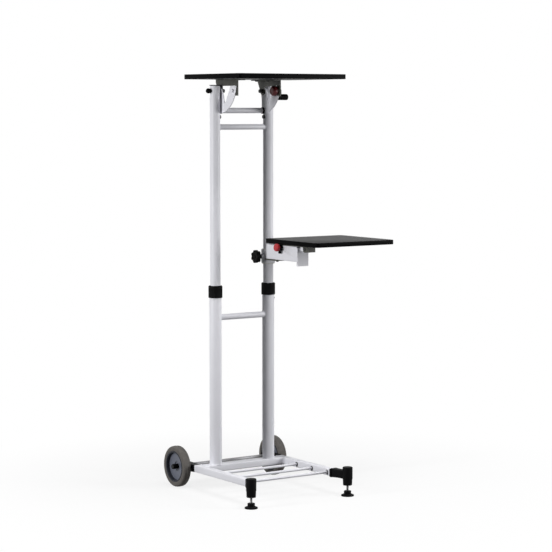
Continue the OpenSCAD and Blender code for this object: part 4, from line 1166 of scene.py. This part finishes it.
# The floor keeps its shadow near the object and fades to plain white away from it
FLOOR_REACH = 30.0
FLOOR_SEEN, FLOOR_UNSEEN = (0.9, 0.9, 0.9), (0.08, 0.08, 0.08)
FADE_START, FADE_END = 0.5, 1.3
FADE_LEAST = 0.8
AMBIENT = 0.13
floor_mesh = bpy.data.meshes.new("floor")
corners = [(x * FLOOR_REACH, y * FLOOR_REACH, 0) for x, y in ((-1, -1), (1, -1), (1, 1), (-1, 1))]
floor_mesh.from_pydata(corners, [], [(0, 1, 2, 3)])
floor = bpy.data.objects.new("floor", floor_mesh)
bpy.context.scene.collection.objects.link(floor)
paint = bpy.data.materials.new("floor_paint")
paint.use_nodes = True
tree = paint.node_tree
tree.nodes.remove(tree.nodes["Principled BSDF"])
matt = tree.nodes.new("ShaderNodeBsdfDiffuse")
seen = seen_ray(tree)
link(tree, blend_colour(tree, seen, FLOOR_UNSEEN, FLOOR_SEEN), matt.inputs["Color"])
glow = tree.nodes.new("ShaderNodeEmission")
glow.inputs["Color"].default_value = (1, 1, 1, 1)
glow.inputs["Strength"].default_value = 1
distance = tree.nodes.new("ShaderNodeVectorMath")
distance.operation = "LENGTH"
link(tree, tree.nodes.new("ShaderNodeTexCoord").outputs["Object"], distance.inputs[0])
fade = tree.nodes.new("ShaderNodeMapRange")
fade.interpolation_type = "SMOOTHSTEP"
for name, number in zip(SPANS, (FADE_START, FADE_END, FADE_LEAST, 1.0)):
    fade.inputs[name].default_value = number
link(tree, distance.outputs["Value"], fade.inputs["Value"])
share = tree.nodes.new("ShaderNodeMath")
share.operation = "MULTIPLY"
link(tree, fade.outputs["Result"], share.inputs[0])
link(tree, seen, share.inputs[1])
mixer = tree.nodes.new("ShaderNodeMixShader")
link(tree, share.outputs[0], mixer.inputs[0])
link(tree, matt.outputs[0], mixer.inputs[1])
link(tree, glow.outputs[0], mixer.inputs[2])
link(tree, mixer.outputs[0], tree.nodes["Material Output"].inputs["Surface"])
floor_mesh.materials.append(paint)

world = bpy.data.worlds.new("studio")
bpy.context.scene.world = world
world.use_nodes = True
tree = world.node_tree
tree.nodes.clear()
fill = tree.nodes.new("ShaderNodeBackground")
fill.inputs["Color"].default_value = (0.97, 0.98, 1.0, 1)
fill.inputs["Strength"].default_value = AMBIENT
white = tree.nodes.new("ShaderNodeBackground")
white.inputs["Color"].default_value = (1, 1, 1, 1)
mixer = tree.nodes.new("ShaderNodeMixShader")
link(tree, seen_ray(tree), mixer.inputs[0])
link(tree, fill.outputs[0], mixer.inputs[1])
link(tree, white.outputs[0], mixer.inputs[2])
link(tree, mixer.outputs[0], tree.nodes.new("ShaderNodeOutputWorld").inputs["Surface"])


def softbox(name, place, target, width, height, power):
    """Rectangular lamp that looks at a target. Its power is in watts."""
    lamp = bpy.data.lights.new(name, "AREA")
    lamp.shape = "RECTANGLE"
    lamp.size, lamp.size_y = width, height
    lamp.energy = power
    holder = bpy.data.objects.new(name, lamp)
    holder.location = place
    holder.rotation_euler = (Vector(target) - Vector(place)).to_track_quat("-Z", "Y").to_euler()
    holder.visible_camera = False
    bpy.context.scene.collection.objects.link(holder)


# The key lamp is level with the posts, so that the left post shades the right one as in the photograph
CENTRE = MIDDLE + Vector((0, 0, 0.75))
softbox("key", MIDDLE + Vector((-3.5, 0, 1.3)), CENTRE, 0.45, 1.8, 90)
softbox("fill", MIDDLE + Vector((2.9, -2.9, 1.5)), CENTRE, 1.6, 2.0, 112)
softbox("top", MIDDLE + Vector((0.1, -1.1, 3.6)), CENTRE, 1.8, 1.8, 72)

# Camera fitted by least squares to the photograph: lens in mm, place from MIDDLE, angles in degrees
LENS, SENSOR = 129.904, 36
CAMERA_AT = Vector((-3.6228, -5.5172, 1.2634))
LOOKS_DOWN, TURNED = 4.849, -34.271
camera_data = bpy.data.cameras.new("camera")
camera_data.lens = LENS
camera_data.sensor_width = SENSOR
camera = bpy.data.objects.new("camera", camera_data)
camera.location = MIDDLE + CAMERA_AT
camera.rotation_euler = (math.radians(90 - LOOKS_DOWN), 0, math.radians(TURNED))
bpy.context.scene.collection.objects.link(camera)
bpy.context.scene.camera = camera

bpy.context.scene.view_settings.view_transform = "Standard"
